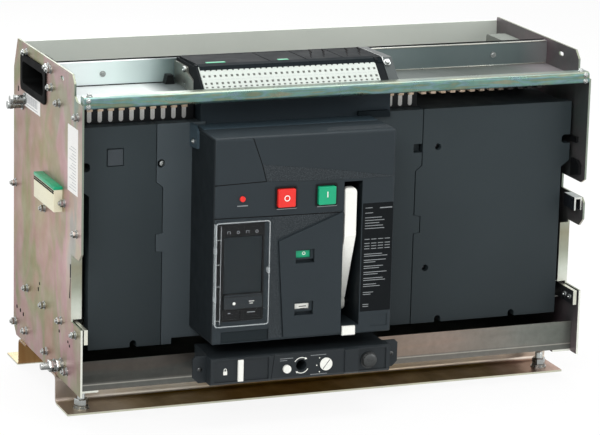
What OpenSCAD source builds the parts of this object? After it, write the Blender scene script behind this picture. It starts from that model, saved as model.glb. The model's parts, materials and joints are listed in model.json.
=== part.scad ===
// Withdrawable air circuit breaker in its draw-out cradle.
// Millimetres, +Z up, front towards -Y, origin at the middle of the four foot bolt holes.

/* [Cradle sheet metal] */
// Outer width over the two side plates
cradle_w = 786; // [780:1:840]
// Thickness of a side plate
plate_t = 3; // [2.5:0.5:4]
// Depth of a side plate from front edge to back edge
plate_depth = 350; // [345:1:400]
// Height of a side plate, which the cover grows with
plate_h = 460; // [455:1:500]
// Setback of the upper front edge of a side plate
upper_setback = 38; // [30:1:45]
// Drop from the plate top to the top of its front ear
ear_drop = 35; // [33:1:40]
// Lower end of the front notch in a side plate
notch_low = 100; // [99:1:110]
// Upper end of the front notch in a side plate
notch_high = 199; // [180:1:210]
// Depth of the front notch
notch_depth = 48; // [40:1:60]
// Width of the stiffening flange bent in at the notch
notch_flange_w = 16; // [10:1:17]
// Height of the interlock notch in the right plate
stop_notch_h = 22; // [15:1:30]
// Lower end of the interlock notch in the right plate
stop_notch_low = 243; // [235:1:250]
// Depth of the interlock notch in the right plate
stop_notch_depth = 75; // [60:1:90]
// Width of the flange bent in along the bottom of a side plate
bottom_flange_w = 30; // [25:1:40]
// Thickness of the pan, tray and foot sheets
sheet_t = 3; // [2:0.5:3.5]
// Height of the front lip of the base pan
pan_lip_h = 44; // [35:1:48]
// Setback of the base pan's front lip
pan_setback = 20; // [15:1:25]
// Distance from the back edge of the plates to the back panel
back_inset = 20; // [15:1:25]

/* [Feet] */
// Height of a foot rail
foot_h = 44; // [35:1:60]
// Depth of a foot rail's floor flange
foot_flange = 65; // [55:1:75]
// Outer radius of a foot rail's bends
foot_bend = 9; // [6:0.5:12]
// Depth of a foot rail's upper flange
foot_top_flange = 40; // [30:1:50]
// Foot bolt spacing across the width
foot_pitch_x = 734; // [700:1:740]
// Foot bolt spacing along the depth
foot_pitch_y = 274; // [265:1:300]
// Foot bolt hole diameter
foot_hole_d = 14; // [11:0.5:18]
// Distance from the plates' front edge to the front foot bolts
foot_setback = 80; // [70:1:90]
// Distance from a foot bolt to the free edge of its flange
foot_edge = 25; // [20:1:30]
// How far a foot rail stands out past each side plate
foot_overhang = 2; // [0:0.5:5]

/* [Top bar and wiring tray] */
// Drop from the plate top to the top of the front bar
bar_drop = 24.5; // [22:0.5:28]
// Height of the front bar
bar_h = 17.5; // [14:0.5:18]
// Depth of the front bar
bar_d = 18; // [14:1:20]
// Rounding of the bar's front edges
bar_r = 5; // [2:0.5:6]
// Depth of the wiring tray behind the bar
tray_d = 132; // [120:1:140]
// Lip bent back at the top of the tray wall
tray_lip = 8; // [4:1:12]

/* [Draw-out rails] */
// Width of a sliding rail
rail_w = 6; // [5:0.5:7]
// Height of a sliding rail
rail_h = 22; // [20:1:22]
// Height of the rail channel's underside
rail_z = 75; // [72:1:75]
// Wall of the rail channel
channel_t = 2; // [1.5:0.5:2.5]
// Running clearance of the rails and the racking guides
slide_gap = 0.3; // [0.2:0.05:0.6]
// Width of the ledge that carries the breaker
ledge_w = 20; // [18:0.5:24]
// Thickness of the ledge that carries the breaker
ledge_t = 4; // [3:0.5:6]
// Setback of a rail's front end from the plates' front edge
rail_setback = 2; // [0:1:10]

/* [Breaker body] */
// Width over the front panels
breaker_w = 766; // [760:1:769]
// How far the panels step in at the side over their lower part
edge_inset = 13; // [11:1:16]
// Setback of the front panels from the plates' front edge
panel_setback = 40; // [35:1:45]
// Thickness of the front panels
panel_t = 20; // [15:1:22]
// Height of the panels' lower edge
panel_low = 57; // [55:1:60]
// Height of the panels' upper edge
panel_high = 384; // [380:1:388]
// Gap at the joint lines between panels
joint_line = 1; // [0.6:0.1:2]
// Depth of the case behind the panels
case_d = 202; // [195:1:205]
// Height of the case's underside
case_low = 100; // [99:1:110]
// Height of the case's top
case_high = 366; // [360:1:370]
// Clearance between the arc chutes and the wiring tray
chute_clear = 7; // [6:0.5:10]
// Pitch of the vent slots
vent_pitch = 15.7; // [14:0.1:18]
// Width of a vent slot
vent_w = 6.4; // [5:0.2:8]
// Depth of the closed top over the right pole
right_box_d = 82; // [75:1:90]

/* [Main contacts] */
// Spacing of the poles
pole_pitch = 230; // [224:1:238]
// Width of a main terminal
terminal_w = 180; // [150:1:185]
// Thickness of a main terminal
terminal_t = 20; // [12:1:24]
// Height of the upper terminals
upper_terminal_z = 300; // [290:1:310]
// Height of the lower terminals
lower_terminal_z = 140; // [136:1:160]
// Reach of a main terminal past the back panel
terminal_reach = 90; // [85:1:110]
// Hole spacing on a terminal across the width
terminal_hole_x = 100; // [80:1:120]
// Hole spacing on a terminal along the depth
terminal_hole_y = 32; // [28:1:40]
// Diameter of the terminal holes
terminal_hole_d = 13; // [9:0.5:14]
// Length of a contact jaw
jaw_d = 40; // [35:1:42]
// Thickness of a contact jaw's finger row
jaw_t = 12; // [9:1:14]
// Clearance between jaw and terminal
jaw_gap = 0.5; // [0.3:0.1:1]

/* [Mechanism cover] */
// Left edge of the mechanism cover
cover_x = -217; // [-222:1:-212]
// Width of the mechanism cover
cover_w = 276; // [270:1:282]
// Height of the cover's lower edge
cover_low = 79; // [76:1:82]
// Height of the cover, which the plates grow with
cover_h = 301; // [296:1:305]
// How far the cover stands out from the front panels
cover_out = 97; // [90:1:102]
// Rounding of the cover's edges
cover_r = 5; // [3:0.5:8]
// Side of the push-buttons
button_side = 26.5; // [22:0.5:28]
// Centre of the opening button from the cover's left edge
off_u = 108; // [104:1:112]
// Centre of the closing button from the cover's left edge
on_u = 169.5; // [160:0.5:172]
// Centre of the push-buttons above the cover's lower edge
button_v = 210.5; // [208:0.5:213]
// Travel of the push-buttons
button_travel = 4; // [3:0.5:5]
// Clearance round the push-buttons
button_gap = 0.7; // [0.4:0.1:0.9]
// How far the push-buttons stand out
button_proud = 6; // [5:0.5:8]
// Width of the trip unit's clear cover
lid_w = 82; // [78:1:84]
// Height of the trip unit's clear cover
lid_h = 153; // [146:1:154]
// Depth of the trip unit's clear cover
lid_d = 10; // [8:1:14]
// Wall of the trip unit's clear cover
lid_t = 2; // [1.5:0.5:3]
// Height of the clear cover's lower edge above the cover's lower edge
lid_v = 29; // [26:1:31]
// Width of the handle slot
slot_w = 28; // [26:1:28]
// Left edge of the handle slot from the cover's left edge
slot_u = 197; // [196:1:198]
// Lower end of the handle slot above the cover's lower edge
slot_v = 14; // [12:1:16]
// Height of the handle slot
slot_h = 214; // [210:1:216]
// Thickness of the raised mechanism panel
raised_t = 3; // [1:0.5:4]
// Width of the charging handle
handle_w = 18; // [14:0.5:18]
// Length of the charging handle above its pivot
handle_l = 179; // [174:1:182]
// Radius of the charging handle's pivot boss
pivot_r = 12; // [9:0.5:13]
// Radius of the charging handle's pivot pin
pin_r = 4; // [3:0.5:5]

/* [Racking unit] */
// Centre of the racking unit across the width
rack_x = -80; // [-85:1:-75]
// Width of the racking unit's front
rack_w = 276; // [260:1:290]
// Height of the racking unit
rack_h = 40; // [38:1:42]
// Height of the racking unit's underside
rack_z = 20; // [14:1:22]
// How far the racking unit stands out from the plates' front edge
rack_out = 60; // [55:1:70]
// Width of each fixing ear
rack_ear_w = 20; // [15:1:25]
// Diameter of the crank socket
crank_d = 16; // [12:0.5:20]
// Depth of the crank socket
crank_depth = 45; // [30:1:55]

/* [Secondary terminals] */
// Length of the secondary terminal strip
strip_l = 270; // [250:1:280]
// Left end of the secondary terminal strip
strip_x = -206; // [-210:1:-200]
// Number of terminal positions
strip_count = 32; // [24:1:34]
// Thickness of the terminal strip
strip_t = 4; // [3:0.5:6]
// Height of the terminal module above the tray floor
strip_h = 37; // [34:1:40]
// Depth of the sloped terminal face
slope_d = 32; // [28:1:36]
// Height of the sloped terminal face
slope_h = 29; // [26:1:32]

/* [Hidden] */
$fn = 48;

// The cover grows with the plates, and the plates, panels and case end at set heights over the cover.
// In the same way the case grows with the plates' depth, and the plates end at a set depth behind the case
measured_plate_h = 460;
measured_cover_h = 301;
measured_depth = 350;
cover_headroom = 80;
cover_high = cover_h + plate_h - measured_plate_h;
plate_top = cover_low + cover_high + cover_headroom;
growth = plate_top - measured_plate_h;
panel_back = panel_setback + panel_t;
case_deep = case_d + plate_depth - measured_depth;
case_back = panel_back + case_deep;
space_behind_case = 88;
plate_back = case_back + space_behind_case;
deeper = plate_back - measured_depth;
panel_top_z = panel_high + growth;
case_top = case_high + growth;
upper_z = upper_terminal_z + growth;
foot_span = foot_pitch_y + deeper;

// The breaker widens with the cradle, and the plates stand at a set gap beside it.
// The three poles share the change
measured_cradle_w = 786;
side_space = 7;
breaker_wide = breaker_w + cradle_w - measured_cradle_w;
cradle_wide = breaker_wide + 2 * (side_space + plate_t);
wider = cradle_wide - measured_cradle_w;
pole_step = pole_pitch + wider / 3;
terminal_wide = terminal_w + wider / 3;
hole_step_x = terminal_hole_x + wider / 3;
foot_span_x = foot_pitch_x + wider;
cover_top_z = cover_low + cover_high;

// Heights on the cover and on the panels keep their share of the whole height
function v(height) = height * cover_high / measured_cover_h;
function on_face(points) = [for (p = points) [p[0], v(p[1])]];
function share(height) = height * panel_top_z / panel_high;
// Depths of what stands on the case keep their share of its depth
function deep(depth) = depth * case_deep / case_d;

plate_front_y = -(foot_setback + foot_span / 2);
half_in = cradle_wide / 2 - plate_t;
half_out = cradle_wide / 2;
pan_z = plate_t;
back_y = plate_back - back_inset;
bar_top = plate_top - bar_drop;
bar_low = bar_top - bar_h;
tray_back = bar_d + tray_d;
tray_drop = 4;
tray_top = plate_top - tray_drop;
case_half = breaker_wide / 2 - edge_inset;
cover_front = panel_setback - cover_out;

// Rail sections, measured inwards from a side plate's inner face
channel_x = half_in;
channel_lip = 3;
channel_w = channel_t + slide_gap + rail_w + channel_lip;
channel_h = rail_h + 2 * slide_gap + 2 * channel_t;
rail_out = half_in - channel_t - slide_gap;
rail_in = rail_out - rail_w;
rail_low = rail_z + channel_t + slide_gap;
channel_front = panel_back;
rail_end_gap = 10;
rail_back = back_y - rail_end_gap;
ledge_setback = 15;
ledge_front = panel_back + ledge_setback;

// Hand grip windows near the top of the plates
grip_y = [180 + deeper, 302 + deeper];
grip_drop = [67, 20];
grip_z = [plate_top - grip_drop[0], plate_top - grip_drop[1]];
grip_r = 6;

// Jigsaw joint line between the front panels and the inner panels
joint_z = [share(196), share(222), share(291)];
left_joint_x = -265 - wider / 4;
right_joint_x = 137 + wider / 4;
joint_step = 5;
joint_slope = [1, 2, 8];

// Handle pivot inside the mechanism cover
pivot_y = -12;
pivot_z = cover_low + v(39);
handle_side_gap = 1.5;
handle_x = cover_x + slot_u + handle_side_gap + handle_w / 2;
slot_back_wall = 22;
pin_end = 8;

module in_cradle() { translate([0, plate_front_y, foot_h]) children(); }
module on_cover() { in_cradle() translate([cover_x, cover_front, cover_low]) children(); }
module both_sides() {
    children();
    mirror([1, 0, 0]) children();
}
module block(x, y, z) {
    translate([x[0], y[0], z[0]]) cube([x[1] - x[0], y[1] - y[0], z[1] - z[0]]);
}
// Profile drawn in Y and Z, drawn out along X
module along_x(x) { translate([x[0], 0, 0]) rotate([90, 0, 90]) linear_extrude(x[1] - x[0]) children(); }
// Profile drawn in X and Z, drawn out along Y
module along_y(y) { translate([0, y[1], 0]) rotate([90, 0, 0]) linear_extrude(y[1] - y[0]) children(); }
module rounded(a, b, r) {
    translate([a[0] + r, b[0]]) square([a[1] - a[0] - 2 * r, b[1] - b[0]]);
    translate([a[0], b[0] + r]) square([a[1] - a[0], b[1] - b[0] - 2 * r]);
    for (p = [a[0] + r, a[1] - r], q = [b[0] + r, b[1] - r]) translate([p, q]) circle(r);
}
module rod_x(x, y, z, r) { translate([x[0], y, z]) rotate([0, 90, 0]) cylinder(h = x[1] - x[0], r = r); }
module rod_y(y, x, z, r) { translate([x, y[1], z]) rotate([90, 0, 0]) cylinder(h = y[1] - y[0], r = r); }

// Side plates
corner = 12;
ear_rise = [10, 6];
back_corner = [20, 46];
foot_corner = 15;
nose_corner = 7;
function plate_outline(extra) = concat(
    [[0, 0], [0, notch_low], [notch_depth, notch_low], [notch_depth, notch_high]],
    [[corner, notch_high], [0, notch_high + corner]],
    extra,
    [[0, plate_top - ear_drop], [upper_setback - ear_rise[0], plate_top - ear_drop]],
    [[upper_setback, plate_top - ear_drop + ear_rise[1]], [upper_setback, plate_top - corner]],
    [[upper_setback + corner, plate_top], [plate_back - back_corner[0], plate_top]],
    [[plate_back, plate_top - back_corner[1]], [plate_back, foot_corner]],
    [[plate_back - foot_corner, 0]]);
stop_notch_high = stop_notch_low + stop_notch_h;
stop_notch = [[0, stop_notch_low - nose_corner], [nose_corner, stop_notch_low],
    [stop_notch_depth, stop_notch_low], [stop_notch_depth, stop_notch_high],
    [corner, stop_notch_high], [0, stop_notch_high + nose_corner]];
vent_slot_y = [grip_y[1] + 8, grip_y[1] + 13];
vent_slot_z = [grip_z[1] - 28, grip_z[1] - 7];
vent_slot_r = 2.4;
top_slot_y = [90, 106];
top_slot_z = [plate_top - 18, plate_top - 12];
top_slot_r = 2.9;
through = [-half_out - 1, -half_in + 1];
flange_gap = [3, 4];

module side_plate(extra) {
    difference() {
        along_x([-half_out, -half_in]) polygon(plate_outline(extra));
        along_x(through) rounded(grip_y, grip_z, grip_r);
        along_x(through) rounded(vent_slot_y, vent_slot_z, vent_slot_r);
        along_x(through) rounded(top_slot_y, top_slot_z, top_slot_r);
    }
    notch_flange_z = [notch_low + flange_gap[0], notch_high - flange_gap[1]];
    block([-half_in, -half_out + notch_flange_w], [notch_depth, notch_depth + plate_t], notch_flange_z);
    block([-half_in, -half_in + bottom_flange_w], [pan_setback, plate_back - foot_corner], [0, plate_t]);
}
module left_side_plate() { color([0.62, 0.58, 0.47]) in_cradle() side_plate([]); }
module right_side_plate() {
    color([0.62, 0.58, 0.47]) in_cradle() mirror([1, 0, 0]) side_plate(stop_notch);
}

module base_pan() {
    color([0.70, 0.71, 0.70]) in_cradle() along_x([-half_in, half_in]) difference() {
        translate([pan_setback, pan_z]) square([back_y - pan_setback, pan_lip_h]);
        translate([pan_setback + sheet_t, pan_z + sheet_t]) square([back_y, pan_lip_h]);
    }
}
insulator_rim = 12;
insulator_w = terminal_wide + 2 * insulator_rim;
insulator_h = 66;
insulator_collar = 6;
collar_t = 8;
insulator_in = 18;
insulator_out = 16;
terminal_gap = 14;
back_drop = 5;
module at_terminals() {
    for (i = [-1:1]) translate([i * pole_step, 0, 0]) children();
}
module terminal_windows(grow, y) {
    for (z = [upper_z, lower_terminal_z])
        at_terminals() let(w = insulator_w / 2 + grow, h = insulator_h / 2 + grow)
            block([-w, w], y, [z - h, z + h]);
}
module back_panel() {
    color([0.74, 0.75, 0.74]) in_cradle() difference() {
        block([-half_in, half_in], [back_y, back_y + plate_t], [pan_z, plate_top - back_drop]);
        terminal_windows(0, [back_y - 1, back_y + plate_t + 1]);
    }
}
insulator_front = back_y - insulator_in;
module terminal_insulators() {
    color([0.12, 0.12, 0.13]) in_cradle() difference() {
        union() {
            terminal_windows(0, [insulator_front, back_y + plate_t + insulator_out]);
            terminal_windows(insulator_collar, [back_y - collar_t, back_y]);
        }
        for (z = [upper_z, lower_terminal_z]) at_terminals() terminal_bar(z);
    }
}
module terminal_bar(z) {
    y = [case_back + terminal_gap, back_y + terminal_reach];
    block([-terminal_wide / 2, terminal_wide / 2], y, [z - terminal_t / 2, z + terminal_t / 2]);
}
terminal_hole_back = 18;
module rear_terminals(z) {
    holes_y = back_y + terminal_reach - terminal_hole_back;
    at_terminals() difference() {
        terminal_bar(z);
        for (x = [-hole_step_x / 2, hole_step_x / 2], y = [holes_y - terminal_hole_y, holes_y])
            translate([x, y, z - terminal_t]) cylinder(h = 2 * terminal_t, d = terminal_hole_d);
    }
}
module upper_rear_terminals() { color([0.80, 0.62, 0.45]) in_cradle() rear_terminals(upper_z); }
module lower_rear_terminals() { color([0.80, 0.62, 0.45]) in_cradle() rear_terminals(lower_terminal_z); }

// Front bar and wiring tray
module top_front_bar() {
    color([0.66, 0.62, 0.58]) in_cradle() along_x([-half_in, half_in]) {
        translate([bar_r, bar_low]) square([bar_d - bar_r, bar_h]);
        translate([0, bar_low + bar_r]) square([bar_d, bar_h - 2 * bar_r]);
        for (z = [bar_low + bar_r, bar_top - bar_r]) translate([bar_r, z]) circle(bar_r);
    }
}
module wiring_tray() {
    color([0.76, 0.78, 0.80]) in_cradle() along_x([-half_in, half_in]) {
        translate([bar_d, bar_low]) square([tray_d, sheet_t]);
        translate([tray_back - sheet_t, bar_low]) square([sheet_t, tray_top - bar_low]);
        translate([tray_back - sheet_t, tray_top - sheet_t]) square([tray_lip + sheet_t, sheet_t]);
    }
}

// Foot rails, a Z section with bolt holes in the floor flange
foot_x = half_out + foot_overhang;
foot_web = foot_flange;
top_bend_y = foot_web - sheet_t + foot_bend;
// Quarter of a sheet's bend, in the quadrant whose lower corner is given
module bend(low) {
    intersection() {
        difference() {
            circle(foot_bend);
            circle(foot_bend - sheet_t);
        }
        translate(low) square(foot_bend);
    }
}
module foot_rail() {
    difference() {
        along_x([-foot_x, foot_x]) {
            square([foot_web - foot_bend, sheet_t]);
            translate([foot_web - sheet_t, foot_bend]) square([sheet_t, foot_h - 2 * foot_bend]);
            translate([top_bend_y, foot_h - sheet_t]) square([foot_top_flange - foot_bend, sheet_t]);
            translate([foot_web - foot_bend, foot_bend]) bend([0, -foot_bend]);
            translate([top_bend_y, foot_h - foot_bend]) bend([-foot_bend, 0]);
        }
        for (x = [-foot_span_x / 2, foot_span_x / 2])
            translate([x, foot_edge, -1]) cylinder(h = sheet_t + 2, d = foot_hole_d);
    }
}
module front_foot_rail() {
    color([0.66, 0.64, 0.55]) translate([0, -foot_span / 2 - foot_edge, 0]) foot_rail();
}
module rear_foot_rail() {
    color([0.66, 0.64, 0.55]) translate([0, foot_span / 2 + foot_edge, 0]) mirror([0, 1, 0]) foot_rail();
}

// Draw-out rails: fixed channels on the plates and the rails that slide in them
module rail_channels() {
    color([0.55, 0.56, 0.57]) in_cradle() both_sides() difference() {
        block([channel_x - channel_w, channel_x], [channel_front, rail_back], [rail_z, rail_z + channel_h]);
        block([0, channel_x - channel_t], [channel_front - 1, rail_back + 1],
            [rail_z + channel_t, rail_z + channel_h - channel_t]);
    }
}
module draw_out_rails() {
    color([0.72, 0.73, 0.74]) in_cradle() both_sides() {
        block([rail_in, rail_out], [rail_setback, rail_back], [rail_low, rail_low + rail_h]);
        block([rail_in - ledge_w, rail_in], [ledge_front, rail_back], [rail_low, rail_low + ledge_t]);
    }
}
hook_w = 13;
hook_h = 20;
hook_t = 3;
hook_y = [4, 40];
hook_rise = 1;
module right_stop_hook() {
    hook_low = stop_notch_low + hook_rise - hook_h;
    color([0.78, 0.79, 0.80]) in_cradle() difference() {
        block([half_in - hook_w, half_in], hook_y, [hook_low, hook_low + hook_h]);
        block([half_in - hook_w + hook_t, half_in - hook_t], hook_y + [-1, 1],
            [hook_low - 1, hook_low + hook_h - hook_t]);
    }
}
grip_wall = 7;
grip_proud = 3;
grip_deep = 34;
grip_floor = 3;
grip_rim = [-4, 4];
module hand_grips() {
    color([0.07, 0.07, 0.08]) in_cradle() both_sides() difference() {
        union() {
            along_x([-half_out - grip_proud, -half_out])
                rounded(grip_y + grip_rim, grip_z + grip_rim, grip_r + 2);
            along_x([-half_out, -half_out + grip_deep]) rounded(grip_y, grip_z, grip_r);
        }
        along_x([-half_out - grip_proud - 1, -half_out + grip_deep - grip_floor])
            rounded(grip_y + [grip_wall, -grip_wall], grip_z + [grip_wall, -grip_wall], grip_r);
    }
}
side_block_d = 13;
side_block_y = [93, 195];
side_block_z = [251, 285];
side_pocket_z = [7, -7];
side_pocket_deep = 4;
side_pocket_w = 6;
side_pitch = 12;
module side_terminal_block() {
    face = -half_out - side_block_d;
    color([0.87, 0.85, 0.74]) in_cradle() difference() {
        block([face, -half_out], side_block_y, side_block_z);
        for (i = [0:7]) translate([0, side_block_y[0] + side_pitch * (i + 0.5), 0])
            block([face - 1, face + side_pocket_deep], [0, side_pocket_w], side_block_z + side_pocket_z);
    }
}
stud_r = 5;
stud_l = 32;
stud_y = 92;
stud_z = 23;
module earth_stud() {
    color([0.75, 0.74, 0.68]) in_cradle() rod_x([-half_out - stud_l, -half_out], stud_y, stud_z, stud_r);
}
boss_r = 6;
boss_l = 24;
boss_y = [288 + deeper, 302 + deeper];
boss_z = [plate_top - 83, plate_top - 94];
module left_side_bosses() {
    color([0.78, 0.79, 0.80]) in_cradle() for (i = [0, 1])
        rod_x([-half_out - boss_l, -half_out], boss_y[i], boss_z[i], boss_r);
}

// Secondary terminals in the tray
strip_low = bar_low + sheet_t;
strip_top = strip_low + strip_h;
base_extra = 28;
base_end = strip_x + strip_l + base_extra;
slope_gap = 4;
slope_front = bar_d + slope_gap;
slope_back = slope_front + slope_d;
slope_len = sqrt(slope_d * slope_d + slope_h * slope_h);
slope_angle = atan2(slope_h, slope_d);
module secondary_terminal_base() {
    color([0.10, 0.10, 0.11]) in_cradle() along_x([strip_x, base_end]) polygon([
        [slope_front, strip_low], [slope_front, strip_top - slope_h], [slope_back, strip_top],
        [tray_back - sheet_t, strip_top], [tray_back - sheet_t, strip_low]]);
}
strip_rows = [0.20, 0.48, 0.76];
strip_groove = 0.37;
pocket_share = [0.34, 0.09];
pocket_deep = 2;
module secondary_terminal_strip() {
    pitch = strip_l / strip_count;
    pocket = [pocket_share[0] * pitch, pocket_share[1] * slope_len, strip_t];
    color([0.92, 0.92, 0.90]) in_cradle() translate([strip_x, slope_front, strip_top - slope_h])
        rotate([slope_angle, 0, 0]) difference() {
            cube([strip_l, slope_len, strip_t]);
            for (i = [0:strip_count - 1], row = strip_rows)
                translate([(i + 0.5) * pitch - pocket[0] / 2, row * slope_len, strip_t - pocket_deep])
                    cube(pocket);
            translate([-1, strip_groove * slope_len, strip_t - 1]) cube([strip_l + 2, 1, strip_t]);
        }
}
bracket_t = 3;
bracket_front = slope_back + 8;
bracket_step = bracket_front + 30;
bracket_fall = [21, 13];
bracket_hole = [8, 9];
bracket_hole_r = 3.5;
module terminal_brackets() {
    color([0.74, 0.75, 0.74]) in_cradle() for (x = [strip_x - bracket_t, base_end])
        along_x([x, x + bracket_t]) difference() {
            polygon([[bracket_front, strip_low], [bracket_front, strip_top - bracket_fall[0]],
                [bracket_step, strip_top - bracket_fall[1]], [bracket_step, tray_top - sheet_t],
                [tray_back - sheet_t, tray_top - sheet_t], [tray_back - sheet_t, strip_low]]);
            translate([bracket_step + bracket_hole[0], strip_top - bracket_hole[1]]) circle(bracket_hole_r);
        }
}

// Racking unit below the breaker
rack_l = rack_x - rack_w / 2;
rack_r = rack_x + rack_w / 2;
rack_face = -rack_out;
rack_step = 20;
ear_y = rack_face + rack_step;
ear_t = 4;
ear_chamfer = 8;
ear_hole_r = 3;
ear_l = rack_l - rack_ear_w;
ear_r = rack_r + rack_ear_w;
rack_top = rack_z + rack_h;
rib_x = [rack_r - 71, rack_r - 50];
rib_out = 2;
rack_side = 3;
rack_edge = [3, 4, 2];
rack_mid = rack_z + rack_h / 2;
pocket_z = [rack_z + 4, rack_top - 4];
pocket_y = [rack_face - 1, rack_face + 2];
left_pocket_x = [rack_l + 6, rack_l + 88];
right_pocket_x = [rack_r - 48, rack_r - 6];
divider_x = [rack_l + 96, rack_l + 91];
divider_w = 1;
module racking_box() {
    color([0.13, 0.13, 0.14]) in_cradle() difference() {
        union() {
            block([rack_l + rack_side, rack_r - rack_side], [ear_y, pan_setback], [rack_z, rack_top]);
            along_y([ear_y, ear_y + ear_t]) polygon([
                [ear_l, rack_z + ear_chamfer], [ear_l + ear_chamfer, rack_z],
                [ear_r - ear_chamfer, rack_z], [ear_r, rack_z + ear_chamfer],
                [ear_r, rack_top - ear_chamfer / 2], [ear_r - ear_chamfer / 2, rack_top],
                [ear_l + ear_chamfer / 2, rack_top], [ear_l, rack_top - ear_chamfer / 2]]);
            along_x([rack_l, rack_r]) rack_profile(0);
            along_x(rib_x) rack_profile(rib_out);
        }
        rod_y([rack_face - 1, rack_face + crank_depth], rack_x, rack_mid, crank_d / 2);
        block(left_pocket_x, pocket_y, pocket_z);
        block(right_pocket_x, pocket_y, pocket_z);
        along_y([rack_face - 1, rack_face + 1]) polygon([
            [divider_x[0], rack_top + 1], [divider_x[0] + divider_w, rack_top + 1],
            [divider_x[1] + divider_w, rack_z - 1], [divider_x[1], rack_z - 1]]);
        for (x = [ear_l + rack_ear_w / 2, ear_r - rack_ear_w / 2])
            rod_y([ear_y - 1, ear_y + ear_t + 1], x, rack_mid, ear_hole_r);
    }
}
module rack_profile(out) {
    polygon([[rack_face + rack_edge[0], rack_z], [rack_face - out, rack_z + rack_edge[1]],
        [rack_face - out, rack_top - rack_edge[2]], [rack_face + rack_edge[1], rack_top],
        [ear_y, rack_top], [ear_y, rack_z]]);
}
slide_x = [rack_l + 41, rack_l + 49];
slide_y = [rack_face - 2, rack_face + 2];
module padlock_slide() { color([0.93, 0.93, 0.91]) in_cradle() block(slide_x, slide_y, pocket_z); }
knob_x = rack_x - 23;
knob_z = rack_z + 17;
knob_r = 6;
knob_out = 5;
module release_button() {
    color([0.93, 0.93, 0.91]) in_cradle() rod_y([rack_face - knob_out, rack_face], knob_x, knob_z, knob_r);
}
disc_x = rack_x + 38;
disc_z = rack_z + 19;
disc_r = 9.5;
disc_out = 2;
module position_indicator() {
    color([0.93, 0.93, 0.91]) in_cradle() rod_y([rack_face - disc_out, rack_face], disc_x, disc_z, disc_r);
}
lock_x = rack_r - 33;
lock_r = 11;
lock_y = [rack_face - 3, rack_face + 2];
key_slot = [2, 12];
module key_lock() {
    color([0.20, 0.20, 0.22]) in_cradle() difference() {
        rod_y(lock_y, lock_x, disc_z, lock_r);
        block([lock_x - key_slot[0] / 2, lock_x + key_slot[0] / 2], [lock_y[0] - 1, lock_y[1] - 1],
            [disc_z - key_slot[1] / 2, disc_z + key_slot[1] / 2]);
    }
}

// Breaker body
module breaker_case() {
    color([0.11, 0.11, 0.12]) in_cradle()
        block([-case_half, case_half], [panel_back, case_back], [case_low, case_top]);
}
runner_in = case_half - 18;
runner_gap = 5;
runner_out = channel_x - channel_w - runner_gap;
runner_setback = 80;
case_edge = 6;
module breaker_runners() {
    y = [panel_back + runner_setback, case_back - case_edge];
    color([0.60, 0.61, 0.62]) in_cradle() both_sides()
        block([runner_in, runner_out], y, [rail_low + ledge_t + slide_gap, case_low]);
}

// Arc chutes with upright vent slots in their front, one over each part of the case
chute_top = bar_low - chute_clear;
chute_gap = 2;
chute_front = panel_back + chute_gap;
chute_back = case_back - case_edge;
chute_side_gap = 3;
vent_edge = 6;
vent_low = panel_top_z + 2;
vent_head = 4;
vent_deep = 8;
plug_x = [-205, 88];
plug_d = 100;
right_box_x = right_joint_x + joint_step + joint_line / 2;
grip_clear = 8;
beside_grip = 20;
module arc_chute(x, y) {
    count = floor((x[1] - x[0] - 2 * vent_edge) / vent_pitch);
    difference() {
        block(x, y, [case_top, chute_top]);
        for (i = [0:count]) translate([x[0] + vent_edge + i * vent_pitch, 0, 0])
            along_y([y[0] - 1, y[0] + vent_deep])
                rounded([-vent_w / 2, vent_w / 2], [vent_low, chute_top - vent_head], vent_w / 2 - 0.01);
    }
}
module arc_chute_grilles() {
    color([0.16, 0.16, 0.17]) in_cradle() {
        arc_chute([-case_half, plug_x[0] - chute_side_gap], [chute_front, grip_y[0] - grip_clear]);
        arc_chute(plug_x, [chute_front + deep(plug_d), chute_back]);
        arc_chute([plug_x[1] + chute_side_gap, right_box_x - chute_side_gap], [chute_front, chute_back]);
        arc_chute([right_box_x, case_half - beside_grip], [chute_front + deep(right_box_d), chute_back]);
    }
}
plug_top = bar_low - chute_clear;
plug_step = 8;
plug_fit = 1;
panel_overlap = 20;
module plug_block() {
    back = panel_back + deep(plug_d);
    color([0.09, 0.09, 0.10]) in_cradle() difference() {
        block(plug_x, [panel_setback, back], [panel_top_z, plug_top]);
        block(plug_x + [-1, 1], [panel_back, back + 1], [plug_top - plug_step, plug_top + 1]);
    }
    between = [cover_x + panel_overlap + plug_fit, cover_x + cover_w - panel_overlap - plug_fit];
    color([0.09, 0.09, 0.10]) in_cradle() {
        block([-pole_step / 2, plug_x[1]], [panel_back, back], [case_top, panel_top_z]);
        block(between, [panel_setback, panel_back], [cover_top_z, panel_top_z]);
    }
}
jaw_inset = 6;
module contact_jaws(z) {
    reach = terminal_t / 2 + jaw_gap;
    at_terminals() for (side = [-1, 1]) translate([0, 0, z + side * (reach + jaw_t / 2)])
        block([-terminal_wide / 2 + jaw_inset, terminal_wide / 2 - jaw_inset], [case_back, case_back + jaw_d],
            [-jaw_t / 2, jaw_t / 2]);
}
module upper_contact_jaws() { color([0.72, 0.60, 0.48]) in_cradle() contact_jaws(upper_z); }
module lower_contact_jaws() { color([0.72, 0.60, 0.48]) in_cradle() contact_jaws(lower_terminal_z); }

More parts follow.
